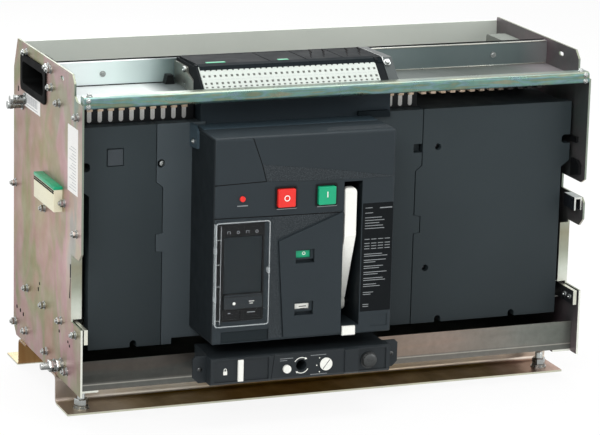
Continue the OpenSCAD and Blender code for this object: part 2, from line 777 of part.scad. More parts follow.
// Front panels with their jigsaw joint line
function joint_points(x, step, low, high) = [[x + step, low],
    [x + step, joint_z[0]], [x - step, joint_z[0] + joint_slope[0]],
    [x - step, joint_z[1]], [x + step, joint_z[1] + joint_slope[1]],
    [x + step, joint_z[2]], [x - step, joint_z[2] + joint_slope[2]], [x - step, high]];
function reversed(list) = [for (i = [len(list) - 1:-1:0]) list[i]];
edge_step_z = share(284);
edge_step_h = 10;
edge_slot = [share(320), share(320) + 13];
edge_slot_r = 5;
edge_slot_d = 14;
foot_notch_r = 5;
module front_panel(side, joint) {
    edge = side * breaker_wide / 2;
    low_edge = side * case_half;
    outline = [[edge, panel_top_z], [edge, edge_step_z + edge_step_h], [low_edge, edge_step_z],
        [low_edge, panel_low]];
    difference() {
        along_y([panel_setback, panel_back]) polygon(concat(outline, joint));
        along_y([panel_setback - 1, panel_back + 1])
            rounded([edge - edge_slot_d, edge + edge_slot_d], edge_slot, edge_slot_r);
    }
}
module foot_notch(x) {
    rod_y([panel_setback - 1, panel_back + 1], x, panel_low + foot_notch_r, foot_notch_r);
}
module foot_notch_mouth(x) {
    block([x - foot_notch_r, x + foot_notch_r], [panel_setback - 1, panel_back + 1],
        [panel_low - 1, panel_low + foot_notch_r]);
}
rack_clear = 6;
module inner_panel(edge, rack_edge, joint) {
    over_rack = rack_z + rack_h + rack_clear;
    outline = [[edge, panel_top_z], [edge, over_rack], [rack_edge, over_rack], [rack_edge, panel_low]];
    along_y([panel_setback, panel_back]) polygon(concat(outline, joint));
}
half_line = joint_line / 2;
left_joint = joint_points(left_joint_x - half_line, joint_step, panel_low, panel_top_z);
left_inner_joint = joint_points(left_joint_x + half_line, joint_step, panel_low, panel_top_z);
right_joint = joint_points(right_joint_x + half_line, -joint_step, panel_low, panel_top_z);
right_inner_joint = joint_points(right_joint_x - half_line, -joint_step, panel_low, panel_top_z);
module left_front_panel() {
    color([0.17, 0.18, 0.20]) in_cradle() difference() {
        front_panel(-1, left_joint);
        foot_notch(left_notch_x);
        foot_notch_mouth(left_notch_x);
        knock_out();
    }
}
left_notch_x = left_joint_x - 37;
right_notch_x = [right_joint_x + 39, right_joint_x + 160 + wider / 4];
knock_x = [left_joint_x - 79 - wider / 8, left_joint_x - 54 - wider / 8];
knock_z = [share(326), share(326) + 26];
knock_line = 1.2;
screw_z = share(326);
screw_r = 6;
screw_deep = 12;
module knock_out() {
    difference() {
        block(knock_x, [panel_setback - 1, panel_setback + knock_line], knock_z);
        block(knock_x + [knock_line, -knock_line], [panel_setback - 2, panel_setback + 2 * knock_line],
            knock_z + [knock_line, -knock_line]);
    }
}
module panel_pocket(x, z, r) { rod_y([panel_setback - 1, panel_setback + screw_deep], x, z, r); }
module left_inner_panel() {
    color([0.17, 0.18, 0.20]) in_cradle() difference() {
        inner_panel(cover_x + panel_overlap, rack_l - rack_ear_w - rack_clear, left_inner_joint);
        panel_pocket(left_joint_x + joint_step / 2, screw_z, screw_r);
    }
}
latch_w = 9;
latch_z = [share(319), share(319) + 13];
module right_inner_panel() {
    color([0.17, 0.18, 0.20]) in_cradle() difference() {
        inner_panel(cover_x + cover_w - panel_overlap, rack_r + rack_ear_w + rack_clear, right_inner_joint);
        block([right_joint_x - latch_w, right_joint_x + latch_w],
            [panel_setback - 1, panel_setback + screw_deep], latch_z);
    }
}
low_screw_z = 142;
small_screw_r = 5;
module right_front_panel() {
    color([0.17, 0.18, 0.20]) in_cradle() difference() {
        union() {
            front_panel(1, right_joint);
            block([right_box_x, case_half], [panel_back, panel_back + deep(right_box_d)],
                [case_top, panel_top_z]);
        }
        for (x = right_notch_x) {
            foot_notch(x);
            foot_notch_mouth(x);
        }
        panel_pocket(right_joint_x + 30, screw_z, small_screw_r);
        panel_pocket(right_joint_x + 16, low_screw_z, small_screw_r);
    }
}

// Mechanism cover
unit_gap = 5;
unit_depth = 34;
button_deep = 18;
module cover_body() {
    intersection() {
        on_cover() along_y([0, cover_out]) rounded([0, cover_w], [0, cover_high], cover_r);
        on_cover() along_x([0, cover_w]) {
            translate([cover_r, 0]) square([cover_out - cover_r, cover_high]);
            translate([0, cover_r]) square([cover_out, cover_high - 2 * cover_r]);
            for (z = [cover_r, cover_high - cover_r]) translate([cover_r, z]) circle(cover_r);
        }
        on_cover() linear_extrude(cover_high) {
            translate([cover_r, 0]) square([cover_w - 2 * cover_r, cover_out]);
            translate([0, cover_r]) square([cover_w, cover_out - cover_r]);
            for (x = [cover_r, cover_w - cover_r]) translate([x, cover_r]) circle(cover_r);
        }
    }
}
line_w = 1;
inlay_t = 1.5;
plate_gap = 1.5;
plate_u = [slot_u + slot_w + plate_gap, cover_w - 2];
plate_v = [v(33), v(194)];
wedge_low = on_face([[79, 235], [174.5, 231.5], [cover_w - 2, 231], [cover_w - 2, 233],
    [174, 248], [72, 260.5]]);
panel_top = on_face([[lid_w + 16, 147.5], [slot_u - 1, 184.5]]);
crest_line = on_face([[-1, 233], [79, 235], [72, 260.5], [57, 302],
    [55.8, 302], [70.8, 260.5], [77.6, 236], [-1, 234]]);
band_line = on_face([[-1, 185], [slot_u - 1, 183], [slot_u - 1, 184], [-1, 186]]);
wedge_high = on_face([[lid_w + 2, 183], [slot_u - 1, 186], [lid_w + 14, 150]]);
unit_v = v(lid_v);
unit_h = v(lid_h);
unit_u = [unit_gap, lid_w - unit_gap];
unit_z = [unit_v + unit_gap, unit_v + unit_h - unit_gap];
foot_pocket_u = [14, 86];
foot_pocket_v = [v(3), v(19)];
badge_u = [244, 269];
badge_v = [v(10), v(27)];
reset_u = 42.5;
reset_v = v(212.5);
reset_r = 4;
reset_y = [-3, 6];
push_v = v(button_v);
slot_z = [v(slot_v), v(slot_v + slot_h)];
pin_x = [slot_u - pin_end, slot_u + slot_w + pin_end];
module front_cover() {
    color([0.14, 0.15, 0.16]) difference() {
        cover_body();
        on_cover() block([slot_u, slot_u + slot_w], [-1, cover_out - slot_back_wall], slot_z);
        on_cover() rod_x(pin_x, pivot_y - cover_front, pivot_z - cover_low, pin_r);
        on_cover() block(unit_u, [-1, unit_depth], unit_z);
        for (u = [off_u, on_u]) on_cover() button_pocket(u);
        on_cover() block(plate_u, [-1, inlay_t], plate_v);
        on_cover() along_y([-1, inlay_t]) polygon(wedge_low);
        on_cover() along_y([-1, inlay_t]) polygon(wedge_high);
        on_cover() block(foot_pocket_u, [-1, 2 * line_w], foot_pocket_v);
        on_cover() block(badge_u, [-1, line_w], badge_v);
        on_cover() along_y([-1, line_w]) polygon(crest_line);
        on_cover() along_y([-1, line_w]) polygon(band_line);
        for (i = [0:1]) on_cover() flag_window(i, [-1, window_deep]);
        on_cover() rod_y([-1, reset_y[1]], reset_u, reset_v, reset_r);
    }
}
module button_pocket(u) {
    half = button_side / 2 + button_gap;
    block([u - half, u + half], [-1, button_deep], [push_v - half, push_v + half]);
}
window = [28, 20];
window_deep = 5;
flag_t = 2;
flag_u = [124.5, 124.5];
flag_v = [v(113), v(36)];
module mechanism_panel() {
    color([0.15, 0.16, 0.17]) on_cover() difference() {
        along_y([-raised_t, 0]) polygon(concat(panel_top, [[slot_u - 1, cover_r], [lid_w + 26, cover_r]]));
        for (i = [0:1]) flag_window(i, [-raised_t - 1, 1]);
    }
}
module flag_window(i, y) {
    block([flag_u[i], flag_u[i] + window[0]], y, [flag_v[i], flag_v[i] + window[1]]);
}
module flag(i) {
    z = [flag_v[i] + window[1] / 4, flag_v[i] + window[1]];
    block([flag_u[i], flag_u[i] + window[0]], [window_deep - flag_t, window_deep], z);
}
module contact_flag() { color([0.10, 0.55, 0.32]) on_cover() flag(0); }
module spring_flag() { color([0.90, 0.90, 0.88]) on_cover() flag(1); }
module accent_wedges() {
    color([0.27, 0.28, 0.30]) on_cover() along_y([0, inlay_t]) {
        polygon(wedge_low);
        polygon(wedge_high);
    }
}
module nameplate() { color([0.08, 0.08, 0.09]) on_cover() block(plate_u, [0, inlay_t], plate_v); }
module reset_button() { color([0.75, 0.10, 0.10]) on_cover() rod_y(reset_y, reset_u, reset_v, reset_r); }
latch_u = [slot_u + 1.5, slot_u + 21.5];
latch_out = 4;
module handle_latch() {
    color([0.90, 0.90, 0.87]) on_cover() block(latch_u, [-latch_out, 0], [cover_r, slot_z[0]]);
}

screen_u = [16, 74];
screen_v = [unit_v + v(45.5), unit_v + v(129.5)];
keys_v = [unit_v + v(24), unit_v + v(42)];
keys_out = 4;
pad_v = [unit_v + v(8), unit_v + v(20)];
pad_w = 26;
pad_pitch = 32;
module trip_unit() {
    color([0.09, 0.10, 0.11]) on_cover() difference() {
        block(unit_u, [-1, unit_depth], unit_z);
        block(screen_u, [-2, 1], screen_v);
        for (u = [screen_u[0], screen_u[0] + pad_pitch]) block([u, u + pad_w], [-2, 0], pad_v);
    }
    color([0.09, 0.10, 0.11]) on_cover() block(screen_u, [-keys_out, -1], keys_v);
}
lid_lift = 0.5;
lid_u = [0.5, lid_w];
lid_z = [unit_v, unit_v + unit_h];
lid_r = 4;
module trip_unit_cover() {
    wall = [lid_t, -lid_t];
    color([0.55, 0.60, 0.62, 0.4]) on_cover() difference() {
        along_y([-lid_d - lid_lift, -lid_lift]) rounded(lid_u, lid_z, lid_r);
        along_y([-lid_d - lid_lift + lid_t, 0]) rounded(lid_u + wall, lid_z + wall, lid_r - lid_t);
    }
}
push_gap = 5;
push_r = 2;
module push_button(u) {
    half = button_side / 2;
    on_cover() along_y([-button_proud, button_deep - button_travel - push_gap])
        rounded([u - half, u + half], [push_v - half, push_v + half], push_r);
}
module on_button() { color([0.06, 0.55, 0.33]) push_button(on_u); }
module off_button() { color([0.80, 0.12, 0.12]) push_button(off_u); }

// Charging handle, a bent lever on a pin across the slot
grip_low = v(109);
handle_proud = 2;
handle_front = cover_front - handle_proud;
handle_t = 15;
handle_r = 5;
handle_tip = [4, 6];
lever_low = 8;
module handle_pin() {
    color([0.70, 0.71, 0.72]) in_cradle() translate([cover_x, 0, 0]) rod_x(pin_x, pivot_y, pivot_z, pin_r);
}
pin_fit = 0.05;
module charging_handle() {
    x = [handle_x - handle_w / 2, handle_x + handle_w / 2];
    top = pivot_z + v(handle_l);
    color([0.90, 0.89, 0.85]) in_cradle() difference() {
        union() {
            intersection() {
                along_x(x) polygon([
                    [handle_front + handle_tip[0], top], [handle_front, top - handle_tip[1]],
                    [handle_front, pivot_z + grip_low], [pivot_y - pivot_r, pivot_z + lever_low],
                    [pivot_y, pivot_z], [pivot_y + pivot_r / 2, pivot_z + lever_low],
                    [handle_front + handle_t, pivot_z + grip_low], [handle_front + handle_t, top]]);
                along_y([handle_front - 1, pivot_y + pivot_r])
                    rounded(x, [pivot_z - pivot_r, top], handle_r);
            }
            rod_x(x, pivot_y, pivot_z, pivot_r);
        }
        rod_x([x[0] - 1, x[1] + 1], pivot_y, pivot_z, pin_r + pin_fit);
    }
}

left_side_plate();
right_side_plate();
base_pan();
back_panel();
top_front_bar();
wiring_tray();
front_foot_rail();
rear_foot_rail();
rail_channels();
right_stop_hook();
hand_grips();
terminal_insulators();
upper_rear_terminals();
lower_rear_terminals();
secondary_terminal_base();
secondary_terminal_strip();
terminal_brackets();
side_terminal_block();
earth_stud();
left_side_bosses();
racking_box();
padlock_slide();
release_button();
position_indicator();
key_lock();
draw_out_rails();
breaker_case();
breaker_runners();
arc_chute_grilles();
plug_block();
upper_contact_jaws();
lower_contact_jaws();
left_front_panel();
left_inner_panel();
right_inner_panel();
right_front_panel();
front_cover();
mechanism_panel();
accent_wedges();
trip_unit();
nameplate();
contact_flag();
spring_flag();
reset_button();
handle_latch();
handle_pin();
trip_unit_cover();
on_button();
off_button();
charging_handle();
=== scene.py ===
import json
import math

import bmesh
import bpy
from mathutils import Matrix, Vector

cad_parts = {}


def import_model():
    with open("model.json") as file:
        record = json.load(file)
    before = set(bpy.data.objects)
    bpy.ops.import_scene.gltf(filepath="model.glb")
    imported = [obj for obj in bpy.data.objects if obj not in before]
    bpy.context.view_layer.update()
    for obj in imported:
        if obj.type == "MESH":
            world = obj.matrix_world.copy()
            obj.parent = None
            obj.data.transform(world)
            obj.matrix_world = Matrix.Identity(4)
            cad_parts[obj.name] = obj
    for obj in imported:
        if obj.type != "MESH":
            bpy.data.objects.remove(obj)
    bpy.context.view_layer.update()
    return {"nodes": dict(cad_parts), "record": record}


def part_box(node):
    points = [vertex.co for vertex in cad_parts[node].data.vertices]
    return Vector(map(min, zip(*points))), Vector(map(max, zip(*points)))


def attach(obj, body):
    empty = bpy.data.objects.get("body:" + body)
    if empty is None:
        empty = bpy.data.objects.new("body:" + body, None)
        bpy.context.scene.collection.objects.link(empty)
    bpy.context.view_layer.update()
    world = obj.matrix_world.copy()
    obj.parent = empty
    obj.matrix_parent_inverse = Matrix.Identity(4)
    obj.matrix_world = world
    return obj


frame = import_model()
nodes = frame["nodes"]
slot_of = {p["node"]: p["material_slot"] for p in frame["record"]["subparts"]}

# Pieces are drawn in millimetres in the cradle's own frame, with Y 0 at the plates' front edge
# and Z 0 at their lower edge.
FRAME_SHIFT = Vector((0.0, -217.0, 44.0))
MM = 0.001

# Front of the mechanism cover, front of the racking unit and outer face of the side plates
COVER_Y = -57.0
RACK_Y = -60.0
PLATE_X = 393.0

FRONT = Vector((0, -1, 0))
BACK = Vector((0, 1, 0))
LEFT = Vector((-1, 0, 0))
RIGHT = Vector((1, 0, 0))
UP = Vector((0, 0, 1))

# Inner width of the cradle in metres, for colours that change along it
CRADLE_X = (-0.39, 0.39)
# Rolling marks along the cradle's width
ALONG_X = (30.0, 900.0, 900.0)


# Materials
def srgb(r, g, b):
    """Linear colour of an 8 bit screen colour."""
    def linear(c):
        c /= 255.0
        return c / 12.92 if c <= 0.04045 else ((c + 0.055) / 1.055) ** 2.4
    return (linear(r), linear(g), linear(b), 1.0)


def tones(*rows):
    """Ramp stops from rows of place, red, green and blue."""
    return [(place, srgb(r, g, b)) for place, r, g, b in rows]


def grey(v):
    return (v, v, v, 1.0)


def scaled(c, k):
    return (min(1.0, c[0] * k), min(1.0, c[1] * k), min(1.0, c[2] * k), 1.0)


def add_node(tree, kind, output, inputs, **settings):
    """One output of a new node, whose inputs are set to values or linked to other outputs."""
    node = tree.nodes.new(kind)
    for name, value in settings.items():
        setattr(node, name, value)
    for name, value in inputs.items():
        if isinstance(value, bpy.types.NodeSocket):
            tree.links.new(value, node.inputs[name])
        else:
            node.inputs[name].default_value = value
    return node.outputs[output]


def add_math(tree, operation, a, b):
    return add_node(tree, "ShaderNodeMath", 0, {0: a, 1: b}, operation=operation)


def add_ramp(tree, fac, stops, mode="LINEAR"):
    colours = add_node(tree, "ShaderNodeValToRGB", "Color", {"Fac": fac})
    ramp = colours.node.color_ramp
    ramp.interpolation = mode
    while len(ramp.elements) < len(stops):
        ramp.elements.new(0.5)
    for element, (place, colour) in zip(ramp.elements, stops):
        element.position = place
        element.color = colour
    return colours


class Shader:
    """A Principled material with a few procedural helpers, all on object coordinates in metres."""

    def __init__(self, name):
        self.mat = bpy.data.materials.new(name)
        self.mat.use_nodes = True
        self.tree = self.mat.node_tree
        self.bsdf = self.tree.nodes["Principled BSDF"]
        self.coord = self.node("ShaderNodeTexCoord", "Object", {})

    def node(self, kind, output, inputs, **settings):
        return add_node(self.tree, kind, output, inputs, **settings)

    def put(self, **values):
        for name, value in values.items():
            self.bsdf.inputs[name.replace("_", " ")].default_value = value
        return self

    def stretched(self, scale):
        return self.node("ShaderNodeMapping", "Vector", {"Vector": self.coord, "Scale": scale})

    def noise(self, scale, detail=3.0, rough=0.5, vector=None, distortion=0.0):
        inputs = {"Vector": vector or self.coord, "Scale": scale, "Detail": detail, "Roughness": rough,
                  "Distortion": distortion}
        return self.node("ShaderNodeTexNoise", "Fac", inputs)

    def ramp(self, fac, stops, mode="LINEAR"):
        return add_ramp(self.tree, fac, stops, mode)

    def spread(self, fac, low, high, source=(0.3, 0.7)):
        """A value mapped from the source's two ends to low and high."""
        inputs = {"Value": fac, "From Min": source[0], "From Max": source[1], "To Min": low, "To Max": high}
        return self.node("ShaderNodeMapRange", "Result", inputs)

    def mix(self, a, b, fac, blend="MIX"):
        inputs = {"Factor": fac, "A": a, "B": b}
        return self.node("ShaderNodeMix", "Result", inputs, data_type="RGBA", blend_type=blend)

    def axis(self, name, low, high):
        """A coordinate mapped to 0..1 between two places, in metres."""
        place = self.node("ShaderNodeSeparateXYZ", name, {"Vector": self.coord})
        return self.spread(place, 0.0, 1.0, (low, high))

    def normal(self, name):
        direction = self.node("ShaderNodeNewGeometry", "Normal", {})
        return self.node("ShaderNodeSeparateXYZ", name, {"Vector": direction})

    def facing(self, name, sign):
        """1 on faces that point along an axis, 0 on the others."""
        return self.spread(self.normal(name), 0.0, 1.0, (0.5 * sign, 0.8 * sign))

    def wobble(self, fac, amount, scale):
        """A 0..1 value shifted by slow noise."""
        return add_math(self.tree, "ADD", fac, self.spread(self.noise(scale, 3.0), -amount, amount))

    def colour(self, socket):
        self.tree.links.new(socket, self.bsdf.inputs["Base Color"])
        return self

    def rough(self, socket):
        self.tree.links.new(socket, self.bsdf.inputs["Roughness"])

    def bump(self, height, strength, distance=0.0004):
        inputs = {"Height": height, "Strength": strength, "Distance": distance}
        self.tree.links.new(self.node("ShaderNodeBump", "Normal", inputs), self.bsdf.inputs["Normal"])
        return self


def plastic(name, colour, rough, grain, depth, vary, specular, foot=1.0, left=1.0):
    """Moulded plastic: fine spark-eroded grain and slow drift of colour and gloss.

    It is foot times as light at its foot and left times as light on faces that point left, both painted
    shade.
    """
    s = Shader(name).put(Specular_IOR_Level=specular)
    slow = s.noise(7.0, 3.0)
    fine = s.noise(grain, 2.0, 0.6)
    base = s.ramp(slow, [(0.25, scaled(colour, 1 - vary)), (0.75, scaled(colour, 1 + vary))])
    # Painted shade: darker towards the foot
    if foot != 1.0:
        painted_foot_shade = s.ramp(s.axis("Z", 0.10, 0.36), [(0.0, grey(foot)), (1.0, grey(1.0))])
        base = s.mix(base, painted_foot_shade, 1.0, "MULTIPLY")
    specks = s.ramp(fine, [(0.3, scaled(colour, 0.7)), (0.7, scaled(colour, 1.35))])
    base = s.mix(base, specks, 0.25)
    # Painted shade on faces that point left
    if left != 1.0:
        base = s.mix(base, scaled(colour, left), s.facing("X", -1))
    s.colour(base)
    s.rough(s.spread(s.noise(40.0, 4.0), rough - 0.06, rough + 0.07))
    return s.bump(fine, depth).mat


def speckled(name, colour):
    """Coarse grained insert with light and dark specks."""
    s = Shader(name).put(Specular_IOR_Level=0.12)
    grit = s.noise(620.0, 3.0, 0.75)
    s.colour(s.ramp(grit, [(0.30, scaled(colour, 0.45)), (0.50, colour), (0.66, scaled(colour, 2.1))]))
    s.rough(s.spread(s.noise(60.0), 0.55, 0.7))
    return s.bump(grit, 0.4).mat


def zinc(name, stops, stretch, rough=0.34, metallic=0.85, mottle=0.12, brushed=(900.0, 900.0, 25.0),
         base=None, share=0.5, faces=()):
    """Plated sheet steel: slow bands of interference colour, fine mottling and rolling marks.

    The bands take that share over the base, and faces gives a colour to those that point along an axis.
    """
    s = Shader(name).put(Metallic=metallic)
    bands = s.noise(1.0, 3.0, 0.55, s.stretched(stretch), 0.4)
    tone = s.ramp(bands, stops, "EASE")
    if base:
        tone = s.mix(base(s), tone, share)
    for axis, sign, colour in faces:
        tone = s.mix(tone, colour(s) if callable(colour) else colour, s.facing(axis, sign))
    spots = s.ramp(s.noise(95.0, 5.0, 0.65), [(0.3, grey(0.35)), (0.7, grey(0.72))])
    s.colour(s.mix(tone, spots, mottle, "OVERLAY"))
    marks = s.noise(1.0, 3.0, 0.6, s.stretched(brushed))
    s.rough(s.spread(s.noise(30.0, 4.0), rough - 0.07, rough + 0.10))
    return s.bump(marks, 0.06, 0.0002).mat


def metal(name, colour, rough):
    """Small plated fasteners: darker below and brighter above, as under a soft box."""
    s = Shader(name).put(Metallic=0.95)
    spots = s.noise(260.0, 4.0, 0.6)
    upright = s.spread(s.normal("Z"), 0.0, 1.0, (-1.0, 1.0))
    shades = ((0.05, 0.10), (0.36, 0.34), (0.52, 0.85), (0.74, 1.45), (0.9, 1.0))
    body = s.ramp(upright, [(place, scaled(colour, k)) for place, k in shades])
    s.colour(s.mix(body, s.ramp(spots, [(0.3, scaled(colour, 0.6)), (0.7, scaled(colour, 1.2))]), 0.25))
    s.rough(s.spread(spots, rough - 0.06, rough + 0.12))
    return s.bump(spots, 0.08, 0.0002).mat


def clear(name, colour, alpha, specular):
    """Clear moulding with a little haze."""
    s = Shader(name).put(Roughness=0.06, Alpha=alpha, Specular_IOR_Level=specular)
    haze = s.noise(30.0, 2.0)
    return s.colour(s.ramp(haze, [(0.3, scaled(colour, 0.92)), (0.7, colour)])).mat


def by_height(stops, low, high):
    return lambda s: s.ramp(s.axis("Z", low, high), stops)


def by_noise(a, b, stretch):
    return lambda s: s.ramp(s.noise(1.0, 4.0, 0.6, s.stretched(stretch)), [(0.35, a), (0.65, b)])


def by_width(stops, amount):
    return lambda s: s.ramp(s.wobble(s.axis("X", *CRADLE_X), amount, 6.0), stops)


# Plates, yellow and pink from back to front
PLATE_STOPS = tones((0.32, 176, 124, 104), (0.42, 138, 140, 84), (0.52, 184, 136, 138), (0.60, 172, 152, 122),
                    (0.68, 110, 140, 124))
PLATE_ALONG = tones((0.0, 116, 106, 88), (0.15, 132, 124, 86), (0.35, 150, 136, 98), (0.55, 160, 140, 112),
                    (0.75, 174, 148, 146), (0.88, 206, 180, 182), (1.0, 192, 188, 176))
# Inner faces of the plates, darker and greener than the outer: painted shade
PLATE_INNER_SHADE = by_noise(srgb(94, 102, 100), srgb(128, 110, 116), (6.0, 6.0, 6.0))
# Front faces of the plates: a painted highlight low on the notch strip, olive above
PLATE_EDGE_HIGHLIGHT = by_height(tones((0.0, 222, 224, 214), (0.22, 196, 202, 190), (0.45, 150, 154, 138),
                             (0.7, 140, 138, 118), (0.85, 152, 156, 142), (1.0, 128, 138, 126)), 0.14, 0.26)
PLATE_RIM = srgb(128, 134, 116)


def plate_base(s):
    """Plate colour from back to front, darker towards the foot and greenish at the upper front corner."""
    along = s.ramp(s.wobble(s.axis("Y", 0.133, -0.217), 0.14, 5.0), PLATE_ALONG)
    low = s.mix(srgb(72, 60, 52), along, s.wobble(s.axis("Z", 0.04, 0.26), 0.2, 6.0))
    front = s.wobble(s.axis("Y", -0.10, -0.20), 0.15, 9.0)
    corner = add_math(s.tree, "MULTIPLY", front, s.axis("Z", 0.38, 0.47))
    height = s.wobble(s.axis("Z", 0.36, 0.52), 0.2, 7.0)
    upper = s.mix(low, srgb(118, 130, 124), s.spread(height, 0.0, 0.7, (0.0, 1.0)))
    return s.mix(upper, srgb(118, 132, 122), corner)


def plate(name, inner):
    return zinc(name, PLATE_STOPS, (3.0, 9.0, 5.0), rough=0.40, metallic=0.7, base=plate_base,
                faces=(("X", inner, PLATE_INNER_SHADE), ("Y", -1, PLATE_EDGE_HIGHLIGHT), ("Z", 1, PLATE_RIM)))


LOOKS = {"plate": plate("zinc_plate", 1), "plate_right": plate("zinc_plate_right", -1)}

# Top front bar, banded along its length
BAR_STOPS = tones((0.36, 114, 124, 104), (0.43, 94, 126, 114), (0.50, 108, 134, 140), (0.57, 102, 138, 126),
                  (0.64, 124, 130, 112))
BAR_TOP = by_noise(srgb(102, 128, 126), srgb(150, 152, 132), (10.0, 120.0, 120.0))
LOOKS["bar"] = zinc("zinc_bar", BAR_STOPS, (13.0, 120.0, 120.0), rough=0.32, mottle=0.3, brushed=ALONG_X,
                    faces=(("Z", 1, BAR_TOP),))

# Wiring tray: bright at the left and dark behind and past the terminals, a painted highlight and a painted
# reflection of the dark modules
TRAY_WALL_PAINTED_LIGHT = tones((0.0, 240, 246, 246), (0.12, 222, 238, 235), (0.19, 186, 204, 202), (0.225, 110, 130, 128),
                  (0.245, 50, 64, 64), (0.62, 104, 118, 118), (0.76, 80, 95, 95), (0.94, 82, 95, 95),
                  (1.0, 120, 120, 120))
TRAY_FLOOR_PAINTED_LIGHT = tones((0.0, 190, 194, 194), (0.165, 216, 220, 218), (0.19, 150, 156, 156), (0.21, 84, 92, 92),
                   (0.62, 116, 122, 120), (0.8, 84, 90, 86), (0.9, 92, 98, 94), (0.97, 122, 118, 120))
LOOKS["tray"] = zinc("zinc_tray_painted_light", tones((0.3, 170, 190, 188), (0.6, 190, 196, 198)), (3.0, 6.0, 8.0),
                     rough=0.5, metallic=0.35, mottle=0.05, brushed=ALONG_X, base=by_width(TRAY_WALL_PAINTED_LIGHT, 0.012),
                     share=0.08, faces=(("Z", 1, by_width(TRAY_FLOOR_PAINTED_LIGHT, 0.01)),))

# Base pan: its lip along the width, and the painted highlight on the fold along its foot by height
PAN_LIP = tones((0.0, 48, 49, 46), (0.28, 60, 63, 61), (0.5, 104, 99, 91), (0.62, 132, 116, 103),
                (0.76, 136, 122, 112), (0.90, 114, 116, 110), (0.97, 100, 104, 98))
PAN_BEND_HIGHLIGHT = tones((0.0, 214, 176, 146), (0.16, 150, 136, 120), (0.24, 96, 98, 94), (0.66, 92, 94, 90),
                 (0.74, 180, 178, 168), (0.82, 100, 100, 96))


def pan_base(s):
    """Dark brushed lip, warm in its right half, with a painted highlight along the fold at its foot."""
    height = s.axis("Z", 0.044, 0.060)
    fold_highlight = s.ramp(height, PAN_BEND_HIGHLIGHT)
    return s.mix(fold_highlight, by_width(PAN_LIP, 0.03)(s), s.spread(height, 0.25, 1.0, (0.80, 0.98)))


PAN_STOPS = tones((0.38, 72, 74, 68), (0.5, 104, 102, 96), (0.62, 126, 106, 94))
LOOKS["pan"] = zinc("zinc_pan", PAN_STOPS, (6.0, 6.0, 30.0), rough=0.42, metallic=0.75, mottle=0.25,
                    brushed=(40.0, 900.0, 900.0), base=pan_base, share=0.14)

# Foot rails: colours along the web and along the floor flange, the front rail's pale stops being painted
# highlights
FOOT_STOPS = tones((0.38, 100, 72, 20), (0.5, 136, 112, 50), (0.62, 172, 152, 92))
FOOT_WEB_WITH_HIGHLIGHTS = tones((0.0, 170, 158, 150), (0.035, 206, 196, 186), (0.08, 248, 242, 234), (0.24, 244, 238, 226),
                 (0.34, 176, 146, 104), (0.52, 150, 118, 74), (0.68, 196, 180, 162), (1.0, 214, 204, 194))
FOOT_TOP_WITH_HIGHLIGHTS = tones((0.0, 176, 160, 142), (0.03, 206, 190, 170), (0.09, 200, 184, 162), (0.13, 170, 146, 112),
                 (0.18, 134, 108, 44), (0.24, 136, 108, 30), (0.5, 118, 94, 14), (0.86, 112, 92, 30),
                 (0.95, 190, 160, 148))
REAR_WEB = tones((0.0, 120, 84, 52), (0.5, 140, 104, 66), (1.0, 150, 120, 86))
REAR_TOP = tones((0.0, 196, 176, 140), (0.5, 150, 118, 70), (1.0, 190, 166, 140))


def foot(name, webs, tops):
    """Yellow plating with pale cut edges."""
    def base(s):
        x = s.wobble(s.axis("X", *CRADLE_X), 0.02, 8.0)
        tone = s.mix(s.ramp(x, webs), s.ramp(x, tops), s.facing("Z", 1))
        return s.mix(srgb(206, 210, 192), tone, s.spread(s.axis("Z", 0.0, 0.01), 0.0, 1.0, (0.26, 0.29)))
    return zinc(name, FOOT_STOPS, (40.0, 4.0, 4.0), rough=0.38, metallic=0.8, mottle=0.08, base=base,
                share=0.18)


LOOKS["foot"] = foot("zinc_foot", FOOT_WEB_WITH_HIGHLIGHTS, FOOT_TOP_WITH_HIGHLIGHTS)
LOOKS["foot_rear"] = foot("zinc_foot_rear", REAR_WEB, REAR_TOP)

# Smaller plated pieces, the back sheet and the main terminals
LOOKS["bracket"] = zinc("zinc_bracket", tones((0.3, 58, 67, 67), (0.7, 72, 80, 79)), (12.0, 12.0, 12.0),
                        rough=0.5, metallic=0.35, mottle=0.15, faces=(("Z", 1, srgb(52, 58, 58)),))
# Bright zinc with its faces that point down painted dark: painted shade
LOOKS["bright"] = zinc("zinc_bright_shaded_below",
                       tones((0.3, 166, 172, 166), (0.55, 186, 186, 176), (0.8, 172, 180, 184)),
                       (20.0, 20.0, 20.0), rough=0.30, metallic=0.9, faces=(("Z", -1, srgb(60, 60, 58)),))
# Rails with their faces that point left and right painted darker: painted shade
LOOKS["rail"] = zinc("zinc_rail_shaded_sides", tones((0.3, 196, 198, 184), (0.7, 222, 222, 208)), (20.0, 20.0, 20.0),
                     rough=0.3, faces=(("X", -1, srgb(76, 78, 80)), ("X", 1, srgb(120, 122, 120))))
# Hook with its faces that point left painted dark and its top darker than its front: painted shade
LOOKS["hook"] = zinc("zinc_hook_shaded_sides", tones((0.3, 198, 202, 198), (0.7, 232, 232, 224)), (30.0, 30.0, 30.0),
                     rough=0.25, metallic=0.9,
                     faces=(("X", -1, srgb(72, 76, 84)), ("Z", 1, srgb(150, 158, 156))))
LOOKS["sheet"] = zinc("back_sheet", tones((0.3, 204, 211, 202), (0.7, 213, 219, 210)), (2.0, 2.0, 2.0),
                      rough=0.55, metallic=0.15, mottle=0.04)
LOOKS["copper"] = zinc("plated_copper", tones((0.3, 186, 138, 108), (0.7, 204, 160, 128)), (12.0, 20.0, 12.0),
                       rough=0.32, metallic=0.9)
LOOKS["screw"] = metal("screw_zinc", srgb(176, 180, 178), 0.26)
LOOKS["lock"] = metal("lock_steel", srgb(78, 80, 80), 0.3)
LOOKS["dark_steel"] = metal("dark_steel", srgb(92, 94, 98), 0.30)
LOOKS["accent"] = speckled("accent_plastic", srgb(46, 51, 54))
LOOKS["clear"] = clear("clear_plastic", srgb(70, 78, 82), 0.015, 0.05)
# A pale, more opaque copy of the clear plastic for its rims and ribs: painted highlight on their edges
LOOKS["clear_edge_highlight"] = clear("clear_edge_highlight", srgb(206, 214, 216), 0.34, 0.4)
